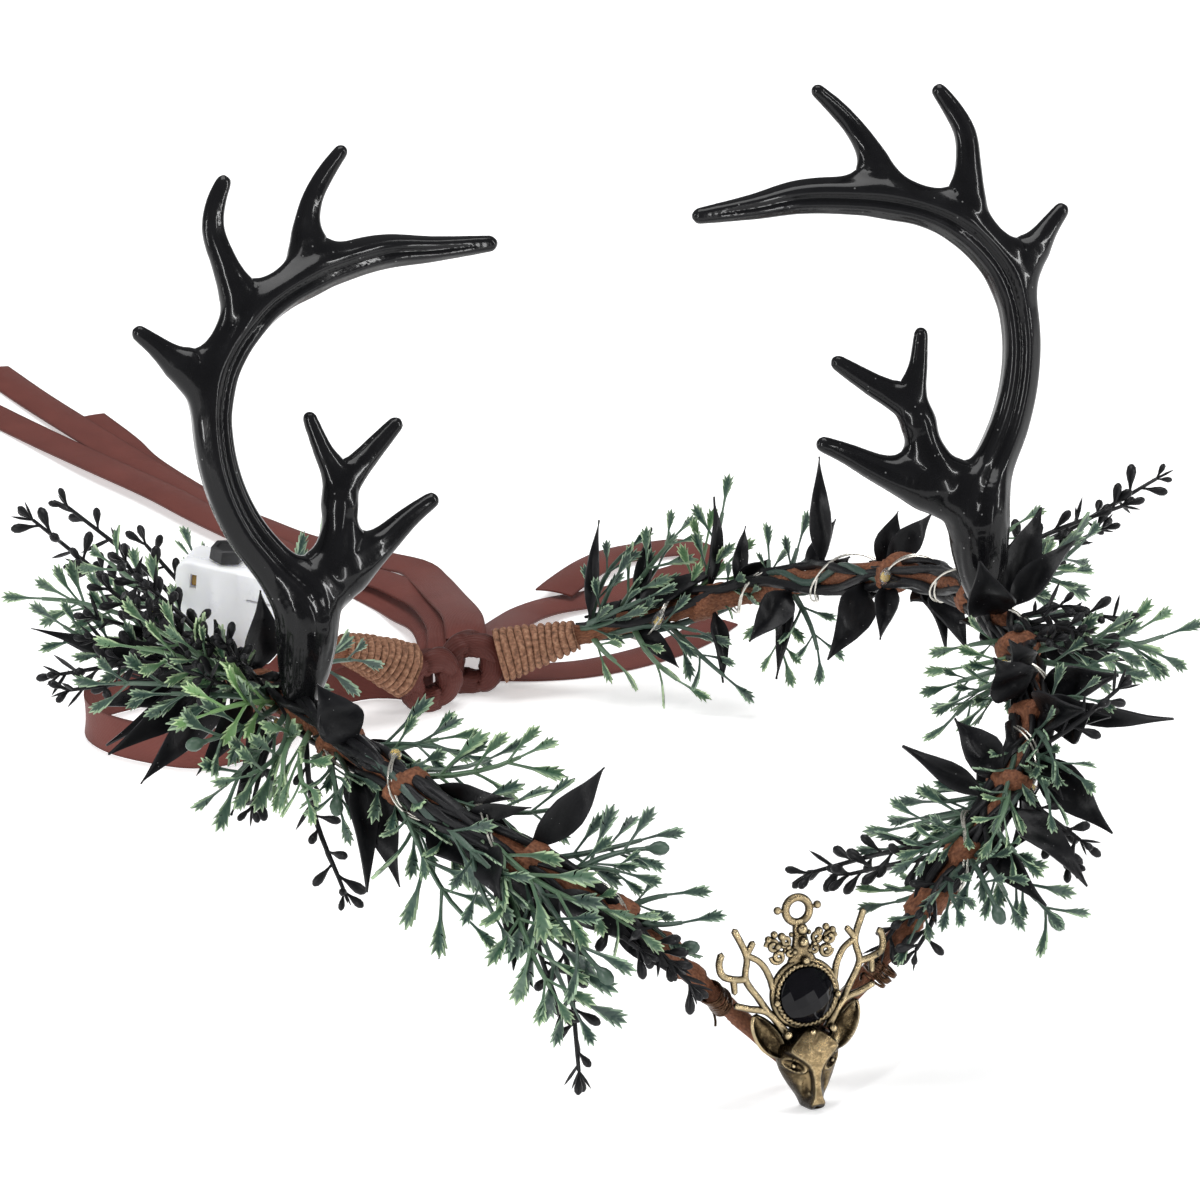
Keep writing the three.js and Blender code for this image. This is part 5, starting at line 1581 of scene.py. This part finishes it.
# Each leaf: foot in mm along the branch, tip x and y in pixels, mm toward the camera, width,
# and for the leaves that lie on top how far the foot stands off the branch
LEAF_TIPS = {
    "leaf_sprig_left_1": [
        (128, 31, 628, 8, 6), (130, 106, 745, 18, 6), (134, 109, 755, 22, 9), (138, 140, 784, 20, 8.5),
        (142, 214, 621, 14, 6), (126, 64, 640, 4, 7), (132, 92, 706, 12, 8),
    ],
    "leaf_sprig_left_2": [
        (150, 260, 590, 10, 9), (164, 231, 816, 25, 6.5), (158, 196, 776, 18, 7),
    ],
    "leaf_sprig_left_3": [
        (210, 317, 684, 6, 11), (214, 399, 887, 10, 8), (211, 368, 892, 14, 6.5), (206, 384, 840, 4, 8),
        (198, 452, 800, 8, 9, 2.2), (204, 402, 776, 8, 10, 2.2), (206, 322, 694, 8, 11, 2.2),
        (214, 436, 842, 8, 8, 2.2),
    ],
    "leaf_sprig_left_4": [
        (232, 514, 799, 8, 5), (246, 532, 807, 10, 4), (262, 604, 767, 0, 8.5),
        (259, 514, 970, 15, 8.5), (254, 500, 900, 16, 8), (268, 560, 940, 8, 6),
        (222, 508, 850, 8, 9, 2.2), (236, 486, 872, 8, 8, 2.2), (240, 556, 882, 7, 8.5, 2.2),
        (256, 598, 912, 7, 8, 2.2), (270, 640, 946, 6, 7, 1.8), (284, 676, 972, 5, 6, 1.4),
    ],
    "leaf_sprig_right_1": [
        (30, 599, 521, -2, 3.6), (42, 651, 528, -4, 4.5), (40, 723, 570, 5, 6.5),
        (41, 679, 668, 5, 5.5), (34, 622, 600, 4, 5),
    ],
    "leaf_sprig_right_2": [
        (60, 713, 497, 0, 4), (68, 745, 527, -5, 4), (61, 722, 683, 4, 5), (70, 770, 560, 3, 6),
    ],
    "leaf_sprig_right_3": [
        (89, 749, 642, 8, 8.5), (88, 777, 679, 4, 4), (100, 819, 457, 0, 5.5), (92, 836, 520, -3, 5),
        (98, 850, 556, 5, 7),
    ],
    "leaf_sprig_right_4": [
        (120, 828, 660, 10, 9.5), (122, 898, 511, 0, 6), (124, 932, 514, -4, 7),
        (146, 967, 647, 4, 8.5), (142, 947, 649, 8, 5), (112, 880, 590, 6, 7, 2.2),
        (134, 950, 606, 7, 9, 2.2), (130, 880, 640, 6, 6),
    ],
    "leaf_sprig_right_5": [
        (196, 980, 562, 14, 11), (198, 1125, 661, 6, 8.5), (190, 1042, 507, -8, 8.5),
        (186, 1012, 545, -6, 8), (192, 1075, 540, -4, 7), (176, 1026, 662, 8, 11, 2.4),
        (172, 988, 634, 7, 9, 2.2),
    ],
    "leaf_sprig_right_6": [
        (234, 994, 659, 16, 10.5), (232, 1118, 675, 12, 8.5), (238, 1174, 720, 0, 5),
        (256, 1112, 834, 8, 9.5), (244, 1083, 710, 24, 9.5), (240, 1110, 717, 14, 7),
        (250, 1064, 800, 18, 7), (228, 1010, 640, 14, 8), (246, 1006, 760, 14, 7),
        (200, 1036, 706, 8, 12, 2.4), (222, 1050, 756, 8, 12, 2.4), (242, 997, 660, 9, 12, 2.4),
        (240, 1030, 806, 8, 11, 2.4), (250, 1094, 704, 9, 12, 2.4),
    ],
    "leaf_sprig_right_7": [
        (268, 954, 719, 0, 9.5), (273, 902, 746, 0, 5), (272, 1088, 886, 10, 8.5),
        (282, 1045, 906, 16, 6.5), (278, 978, 878, 14, 7), (250, 980, 838, 8, 10, 2.4),
        (262, 1012, 850, 8, 8, 2.2), (272, 934, 884, 7, 9, 2.2), (286, 908, 926, 6, 7, 1.6),
    ],
}


FOOT_DEEP = 1.0  # how far a stem's foot is sunk under the tape, in mm
TAPE_THICK = 0.6
ABOVE_TABLE = 0.1


def side_of(name):
    """The branch that a sprig grows on, from its name."""
    return "left" if "_left_" in name else "right"


def sprig_foot(side, along, tip, deep=FOOT_DEEP):
    """Foot of a stem: on the branch's skin, on the side that its tip leans to."""
    at, axis = BRANCHES[side].place(along)
    return at + square_to(tip - at, axis) * (branch_core(along) + TAPE_THICK - deep) * MM


def tip_of(side, row):
    """Tip of a stem from its row: the place at its pixels, near its foot in depth."""
    along, px, py, toward = row[:4]
    return photo_spot(px, py, BRANCHES[side].place(along)[0], toward)


def by_chance(draw, most):
    """A small turn by chance, least from front to back."""
    return Vector((draw.uniform(-most, most), draw.uniform(-0.3, 0.3), draw.uniform(-most, most)))


def blade_half(share):
    """Half width of a leaf from foot to tip, as a share of the full half width."""
    return float(np.interp(share, *zip(*BLADE_OUTLINE)))


def lance_leaf(target, foot, tip, width, draw):
    """A bowed, creased leaf from foot to tip, turned a little by chance."""
    span = tip - foot
    axis = span.normalized()
    facing = square_to(FACE + by_chance(draw, 0.5), axis)
    bow = facing * span.length * draw.uniform(0.05, 0.13)
    route = Route([foot, foot + span * 0.3 + bow * 0.75, foot + span * 0.65 + bow, tip])
    rings = rings_along(route, LEAF["rows"] + 1, facing)
    fold, roll, twist = draw.uniform(0.1, 0.35), draw.uniform(-0.2, 0.25), draw.uniform(-0.5, 0.5)
    leaf = bmesh.new()
    bmesh.ops.create_grid(leaf, x_segments=LEAF["columns"], y_segments=LEAF["rows"], size=1.0)
    for corner in leaf.verts:
        ring = rings[round((corner.co.y + 1) / 2 * LEAF["rows"])]
        half = blade_half(ring.share) * width / 2
        u = corner.co.x
        rise = half * (fold * abs(u) + roll * u * u) + 0.12 * half * math.sin(ring.share * 11 + 2 * u)
        lean = twist * ring.share
        across = u * half * math.cos(lean) - rise * math.sin(lean)
        up = rise * math.cos(lean) + u * half * math.sin(lean)
        corner.co = ring.at + (ring.side * across + ring.out * up) * MM
    bmesh.ops.recalc_face_normals(leaf, faces=leaf.faces)
    bmesh.ops.solidify(leaf, geom=leaf.faces[:], thickness=LEAF["thick"] * MM)
    join_into(target, leaf)


for name, rows in LEAF_TIPS.items():
    side, draw = side_of(name), random.Random(name)
    sprig = bmesh.new()
    for row in rows:
        tip = tip_of(side, row)
        foot = sprig_foot(side, row[0], tip, *(-lift for lift in row[5:]))
        lance_leaf(sprig, foot, tip, row[4], draw)
    finish_piece(name.replace("leaf_sprig", "black_leaves"), sprig, black_leaf, [name])

# %% [markdown]
# ## Small shapes that repeat
# Berries, needles, buds and fern blades turn up hundreds of times. Each is made once
# as a small mesh in millimetres, then copied, turned and scaled into place. Berries
# and buds are spun from a short profile. A blade is a grid whose edge steps out and
# back into forward-pointing teeth, and it carries how near a point is to the rim.

# %% Berry, needle, bud and blade shapes
BERRY_PROFILE = [
    (0.45, 0), (0.38, 1.6), (0.6, 2.9), (1.05, 4.3), (1.4, 5.9), (1.2, 7.3), (0.55, 8.1), (0, 8.3)
]
NEEDLE_PROFILE = [(0.35, 0), (0.5, 2.0), (0.55, 4.2), (0.3, 6.2), (0, 7.6)]
BUD_PROFILE = [(0.6, 0), (0.75, 1.0), (1.5, 2.2), (1.8, 3.6), (1.45, 5.0), (0.7, 5.8), (0, 6.0)]
BLADE_ROWS = [  # height at the midrib, half width at the edge, how far the edge runs forward
    (0.0, 0.55, 0.0), (1.4, 0.95, 0.1), (2.7, 1.85, 1.7), (3.3, 1.2, 0.2), (4.6, 2.4, 2.3),
    (5.2, 1.35, 0.4), (6.3, 1.95, 2.4), (6.9, 0.95, 0.6), (9.6, 0.08, 0.0),
]
STALK_LENGTH, BLADE_THICK = 7.5, 0.6


def spun_shape(name, profile, steps):
    """A lathed shape from a profile of radius and height."""
    bm = bmesh.new()
    corners = [bm.verts.new((radius, 0, height)) for radius, height in profile]
    edges = [bm.edges.new(pair) for pair in zip(corners, corners[1:])]
    bmesh.ops.spin(
        bm, geom=corners + edges, cent=(0, 0, 0), axis=(0, 0, 1), angle=2 * math.pi, steps=steps,
        use_merge=True,
    )
    close_up(bm)
    return mesh_from(bm, name)


def blade_shape(name, curl, cup, twist):
    """A stalk that opens into a toothed blade; curl, cup and twist bend it."""
    bm = bmesh.new()
    rim = bm.verts.layers.float.new("rim")
    table = [(-STALK_LENGTH, 0.5, 0.0), (-STALK_LENGTH / 2, 0.42, 0.0), *BLADE_ROWS]
    last = len(table) - 1
    bmesh.ops.create_grid(bm, x_segments=2, y_segments=last, size=1.0)
    for corner in bm.verts:
        height, half, forward = table[round((corner.co.y + 1) / 2 * last)]
        u = corner.co.x
        near_tip = 0.9 * (height / BLADE_ROWS[-1][0]) ** 3
        corner[rim] = max(abs(u), near_tip) if height > 0 else 0.75 * abs(u)
        run = height + STALK_LENGTH + forward * u * u
        x, z = u * half, cup * u * u * half + curl * (run / 10) ** 2
        lean = twist * run / 15
        corner.co = (
            x * math.cos(lean) - z * math.sin(lean), z * math.cos(lean) + x * math.sin(lean), run
        )
    bmesh.ops.recalc_face_normals(bm, faces=bm.faces)
    bmesh.ops.solidify(bm, geom=bm.faces[:], thickness=BLADE_THICK)
    return mesh_from(bm, name)


def stamp(target, shape, place, along, facing, scale):
    """Adds a copy of a small shape: its height along a direction, its front to a facing."""
    out = square_to(facing, along)
    turned = Matrix((out.cross(along), out, along)).transposed().to_4x4()
    copy = shape.copy()
    copy.transform(Matrix.Translation(place) @ turned @ Matrix.Scale(scale * MM, 4))
    target.from_mesh(copy)
    bpy.data.meshes.remove(copy)


BERRY = spun_shape("berry", BERRY_PROFILE, 8)
NEEDLE = spun_shape("needle", NEEDLE_PROFILE, 5)
BUD = spun_shape("bud", BUD_PROFILE, 8)
BENDS = [(0.5, 0.3, 0.2), (-0.9, 0.45, -0.3), (1.3, 0.2, 0.5), (-0.2, 0.55, 0.0)]
BLADES = [blade_shape(f"blade_{index}", *bend) for index, bend in enumerate(BENDS)]
for shape in (BERRY, NEEDLE, BUD, *BLADES):
    print(shape.name, len(shape.polygons), "faces")

# %% [markdown]
# ## Berry sprays
# A spray is a black plastic stem with drop-shaped berries on short stalks and thin
# needles between them, and a small cluster at the tip. Some sprays are open, others
# are packed so close that they read as a dark tuft.

# %% Berry sprays
SPRAY = {"stem": 1.5, "spread": (35, 70)}
SPRAY_TIPS = {  # foot in mm along, tip x and y in pixels, mm toward the camera, mm between berries
    "berry_spray_left_1": [
        (83, 68, 507, 0, 3.4), (84, 33, 520, 4, 3.2), (80, 146, 545, -4, 3.6), (116, 110, 590, 20, 2.0),
        (117, 150, 588, 22, 2.0), (84, 84, 566, 10, 2.2), (115, 126, 562, 18, 2.0),
        (118, 140, 612, 24, 2.0), (118, 96, 618, 18, 2.4),
    ],
    "berry_spray_left_2": [
        (125, 61, 674, 22, 2.8), (122, 96, 640, 16, 2.6), (130, 120, 660, 20, 2.6),
        (128, 70, 690, 24, 2.8),
    ],
    "berry_spray_left_3": [
        (160, 208, 640, 20, 2.0), (158, 190, 660, 22, 2.0), (164, 228, 646, 20, 2.0),
        (162, 205, 676, 24, 2.0), (166, 240, 662, 22, 2.0),
    ],
    "berry_spray_left_4": [(186, 344, 891, 14, 3.0), (178, 252, 806, 16, 3.2)],
    "berry_spray_left_5": [(270, 579, 1071, 0, 3.0), (266, 560, 1010, 4, 3.2)],
    "berry_spray_left_6": [(281, 690, 984, 5, 2.4), (285, 668, 960, 6, 2.4), (278, 640, 950, 8, 2.6)],
    "berry_spray_right_1": [
        (160, 1156, 479, -25, 3.4), (164, 1122, 506, -20, 3.4), (162, 1100, 530, -16, 3.4),
    ],
    "berry_spray_right_2": [
        (201, 1120, 618, 12, 2.2), (204, 1104, 650, 14, 2.2), (198, 1060, 606, 14, 2.2),
        (206, 1078, 632, 16, 2.2), (203, 1050, 640, 18, 2.2),
    ],
    "berry_spray_right_3": [
        (263, 1068, 860, 10, 2.6), (258, 1118, 689, 8, 3.0), (268, 1080, 840, 8, 2.8),
    ],
    "berry_spray_right_4": [
        (285, 809, 873, -10, 2.3), (288, 850, 874, -6, 2.6), (299, 916, 950, 6, 2.4),
        (303, 884, 944, 4, 2.6), (292, 930, 900, 8, 2.4),
    ],
}


def berry_stem(target, foot, tip, every, draw):
    """A stem with berries and needles set round it, and a cluster at its tip."""
    span = tip - foot
    axis = span.normalized()
    first = square_to(FACE, axis)
    second = axis.cross(first)
    sag = second * span.length * draw.uniform(-0.08, 0.08)
    route = Route([foot, foot + span * 0.5 + sag, tip])

    def stem_radius(turn, ring):
        knots = 0.12 * noise.noise((2 * math.cos(turn), 2 * math.sin(turn), ring.run * 0.5))
        return SPRAY["stem"] / 2 * (1 - 0.4 * ring.share) * (1 + knots)
    rings = rings_along(route, max(6, round(route.length / 3)))
    roll_tube(target, rings, 7, round_section(stem_radius))
    clock = draw.uniform(0, 6)
    start = min(9.0, route.length * 0.35)
    for run in np.arange(start, route.length, every):
        at, along = route.place(run)
        clock += 2.4
        out = first * math.cos(clock) + second * math.sin(clock)
        tilt = math.radians(draw.uniform(*SPRAY["spread"]))
        shape, sizes = (BERRY, (0.62, 0.92)) if draw.random() < 0.6 else (NEEDLE, (0.7, 1.0))
        way = along * math.cos(tilt) + out * math.sin(tilt)
        stamp(target, shape, at, way, first + along * 0.1, draw.uniform(*sizes))
    for turn in range(4):
        at, along = route.place(route.length)
        out = first * math.cos(clock + 1.6 * turn) + second * math.sin(clock + 1.6 * turn)
        shape = BERRY if turn % 2 else NEEDLE
        way = (along * 1.1 + out * 0.6).normalized()
        stamp(target, shape, at, way, first + along * 0.1, draw.uniform(0.5, 0.72))


for name, rows in SPRAY_TIPS.items():
    side, draw = side_of(name), random.Random(name)
    spray = bmesh.new()
    for row in rows:
        tip = tip_of(side, row)
        berry_stem(spray, sprig_foot(side, row[0], tip), tip, row[4], draw)
    for corner in spray.verts:
        corner.co.z = max(corner.co.z, ABOVE_TABLE * MM)
    finish_piece(name.replace("berry_spray", "black_berries"), spray, black_leaf, [name])

# %% [markdown]
# ## Fern sprigs
# The ferns are moulded in blue-green plastic with a paler rim. A frond is a slim stem
# with pairs of stalked, toothed blades that sweep forward, and it ends in a blade or
# in a smooth bud. Every frond gets its own tone, from dark blue-green to fresh green.

# %% Fern fronds
FERN = {"stem": 1.6, "leafy": 34.0, "node_every": 7.6}
FERN_LOOKS = {  # sprig: blade size, darkest and freshest tone; most fronds stay near the dark end
    "other": (0.98, 0.1, 0.85),
    "fern_sprig_left_2": (0.84, 0.3, 0.75), "fern_sprig_left_4": (0.88, 0.3, 0.9),
    "fern_sprig_left_5": (1.12, 0.3, 1.0), "fern_sprig_left_6": (1.08, 0.3, 1.0),
    "fern_sprig_left_7": (1.1, 0.2, 1.0), "fern_sprig_left_8": (1.08, 0.1, 0.7),
    "fern_sprig_left_9": (1.04, 0.05, 0.6), "fern_sprig_right_5": (0.94, 0.35, 0.9),
    "fern_sprig_right_8": (1.02, 0.05, 0.6),
}
FERN_TIPS = {  # foot in mm along, tip x and y in pixels, mm toward the camera, bud where it ends in one
    "fern_sprig_left_1": [(60, 322, 527, -10), (64, 300, 545, -5)],
    "fern_sprig_left_2": [
        (118, 14, 596, 5), (122, 47, 586, -4), (112, 94, 551, -18), (88, 186, 539, -12),
        (124, 40, 612, 10),
    ],
    "fern_sprig_left_3": [(150, 368, 660, -15), (146, 345, 640, -20)],
    "fern_sprig_left_4": [
        (165, 131, 613, 15), (166, 108, 643, 18), (168, 88, 684, 12), (162, 176, 637, 22),
    ],
    "fern_sprig_left_5": [
        (176, 173, 750, 28, "bud"), (180, 206, 802, 24), (174, 188, 721, 26), (172, 143, 694, 14),
        (170, 227, 693, 20), (182, 227, 782, 26),
    ],
    "fern_sprig_left_6": [
        (196, 345, 830, 20), (188, 283, 796, 24), (192, 314, 814, 26), (194, 336, 830, 22, "bud"),
        (200, 362, 810, 14), (178, 316, 693, -12),
    ],
    "fern_sprig_left_7": [
        (236, 579, 804, 8), (228, 485, 938, 12), (222, 427, 869, 16), (240, 519, 899, 18),
        (214, 465, 736, -2), (226, 545, 745, 0), (208, 480, 760, 6), (212, 430, 856, 14),
        (220, 455, 868, 14), (218, 512, 748, 2),
    ],
    "fern_sprig_left_8": [
        (272, 683, 852, -5, "bud"), (264, 624, 996, 18, "bud"), (262, 586, 1033, 14),
        (258, 564, 1013, 20), (250, 509, 939, 16), (276, 651, 941, 8), (266, 666, 832, -8),
        (270, 644, 881, -2), (252, 622, 915, 14),
    ],
    "fern_sprig_left_9": [(290, 708, 914, 5), (286, 693, 896, -3), (297, 711, 939, 8, "bud")],
    "fern_sprig_right_1": [
        (36, 688, 522, -3), (30, 642, 540, -2), (48, 744, 692, 10), (40, 699, 692, 12),
        (30, 636, 674, 8), (28, 634, 609, 6), (33, 668, 544, -2), (28, 664, 590, 8), (34, 720, 640, 10),
        (32, 625, 566, 2),
    ],
    "fern_sprig_right_2": [
        (58, 727, 488, 0), (55, 710, 522, -2), (66, 749, 581, 6), (50, 740, 548, 2), (62, 765, 610, 8),
    ],
    "fern_sprig_right_3": [
        (86, 803, 527, -2), (79, 765, 540, -4), (88, 820, 674, 8), (82, 792, 674, 6),
        (74, 742, 600, 10),
    ],
    "fern_sprig_right_4": [
        (175, 1069, 542, -12), (178, 1082, 571, -14), (184, 1110, 636, -5), (168, 1034, 516, -10),
        (172, 1095, 530, -18),
    ],
    "fern_sprig_right_5": [
        (208, 1190, 627, 5), (202, 1163, 616, -4), (214, 1177, 662, 8), (220, 932, 690, 5),
        (206, 945, 653, 0), (228, 941, 737, 6), (218, 1137, 675, 8), (216, 938, 672, 4),
        (224, 944, 706, 8), (226, 965, 722, 10),
    ],
    "fern_sprig_right_6": [
        (257, 1091, 787, 18), (262, 1048, 825, 20), (242, 1107, 707, 12), (252, 996, 826, 22),
        (250, 1060, 770, 22),
    ],
    "fern_sprig_right_7": [
        (278, 871, 849, -5), (274, 901, 820, -8), (266, 933, 788, -6), (280, 909, 855, 10),
        (276, 882, 833, -4), (284, 906, 868, 12), (270, 915, 800, -4),
    ],
    "fern_sprig_right_8": [
        (284, 1072, 943, 12, "bud"), (288, 1008, 938, 22, "bud"), (278, 1035, 868, 16),
        (292, 965, 919, 18), (282, 1056, 919, 14), (286, 1016, 917, 20), (270, 985, 850, 18),
    ],
    "fern_sprig_right_9": [(298, 874, 902, -8), (302, 906, 954, 6), (296, 877, 892, -10)],
}


def fern_frond(target, foot, tip, look, draw, end="blade"):
    """A stem with pairs of stalked blades that sweep forward, and a blade or bud at its tip."""
    arm, darkest, freshest = look
    frond = bmesh.new()
    span = tip - foot
    axis = span.normalized()
    facing = square_to(FACE + by_chance(draw, 0.6), axis)
    side = axis.cross(facing)
    bow = facing * span.length * draw.uniform(0.04, 0.12)
    bow += side * span.length * draw.uniform(-0.09, 0.09)
    route = Route([foot, foot + span * 0.35 + bow, foot + span * 0.7 + bow, tip - span * 0.02])
    end_size = 0.8 if end == "bud" else 0.62
    stem_end = route.length - 9 * end_size

    def stem_radius(turn, ring):
        return FERN["stem"] / 2 * (1 - 0.4 * ring.share) * (1 + 0.1 * math.cos(3 * turn))
    rings = rings_along(route, max(6, round(stem_end / 4)), facing, end=stem_end)
    roll_tube(frond, rings, 6, round_section(stem_radius))
    leafy = min(FERN["leafy"], stem_end * 0.72)
    size = arm * min(1.0, 0.45 + stem_end / 60)
    for run in np.arange(stem_end - leafy, stem_end - 1.5, FERN["node_every"]):
        at, along = route.place(run)
        across = along.cross(square_to(facing, along))
        for hand in (1, -1):
            if draw.random() < 0.08:
                continue
            angle = math.radians(draw.uniform(26, 46))
            sweep = along * math.cos(angle) + across * hand * math.sin(angle)
            way = sweep + facing * draw.uniform(-0.25, 0.3)
            tilted = facing + across * draw.uniform(-0.7, 0.7)
            reach = size * draw.uniform(0.78, 1.05) * (1 - 0.25 * run / stem_end)
            stamp(frond, draw.choice(BLADES), at, way.normalized(), tilted, reach)
    at, along = route.place(stem_end)
    shape, scale = (BUD, 0.9) if end == "bud" else (draw.choice(BLADES), end_size)
    stamp(frond, shape, at - along * MM, along, facing, scale)
    tone = frond.verts.layers.float.get("tone") or frond.verts.layers.float.new("tone")
    shade = darkest + (freshest - darkest) * draw.random() ** 2
    for corner in frond.verts:
        corner[tone] = shade
    join_into(target, frond)


for name, rows in FERN_TIPS.items():
    side, draw = side_of(name), random.Random(name)
    look = FERN_LOOKS.get(name, FERN_LOOKS["other"])
    sprig = bmesh.new()
    for row in rows:
        tip = tip_of(side, row)
        fern_frond(sprig, sprig_foot(side, row[0], tip), tip, look, draw, *row[4:])
    for corner in sprig.verts:
        corner.co.z = max(corner.co.z, ABOVE_TABLE * MM)
    finish_piece(name.replace("fern_sprig", "fern_fronds"), sprig, green, [name])
for shape in (BERRY, NEEDLE, BUD, *BLADES):
    bpy.data.meshes.remove(shape)
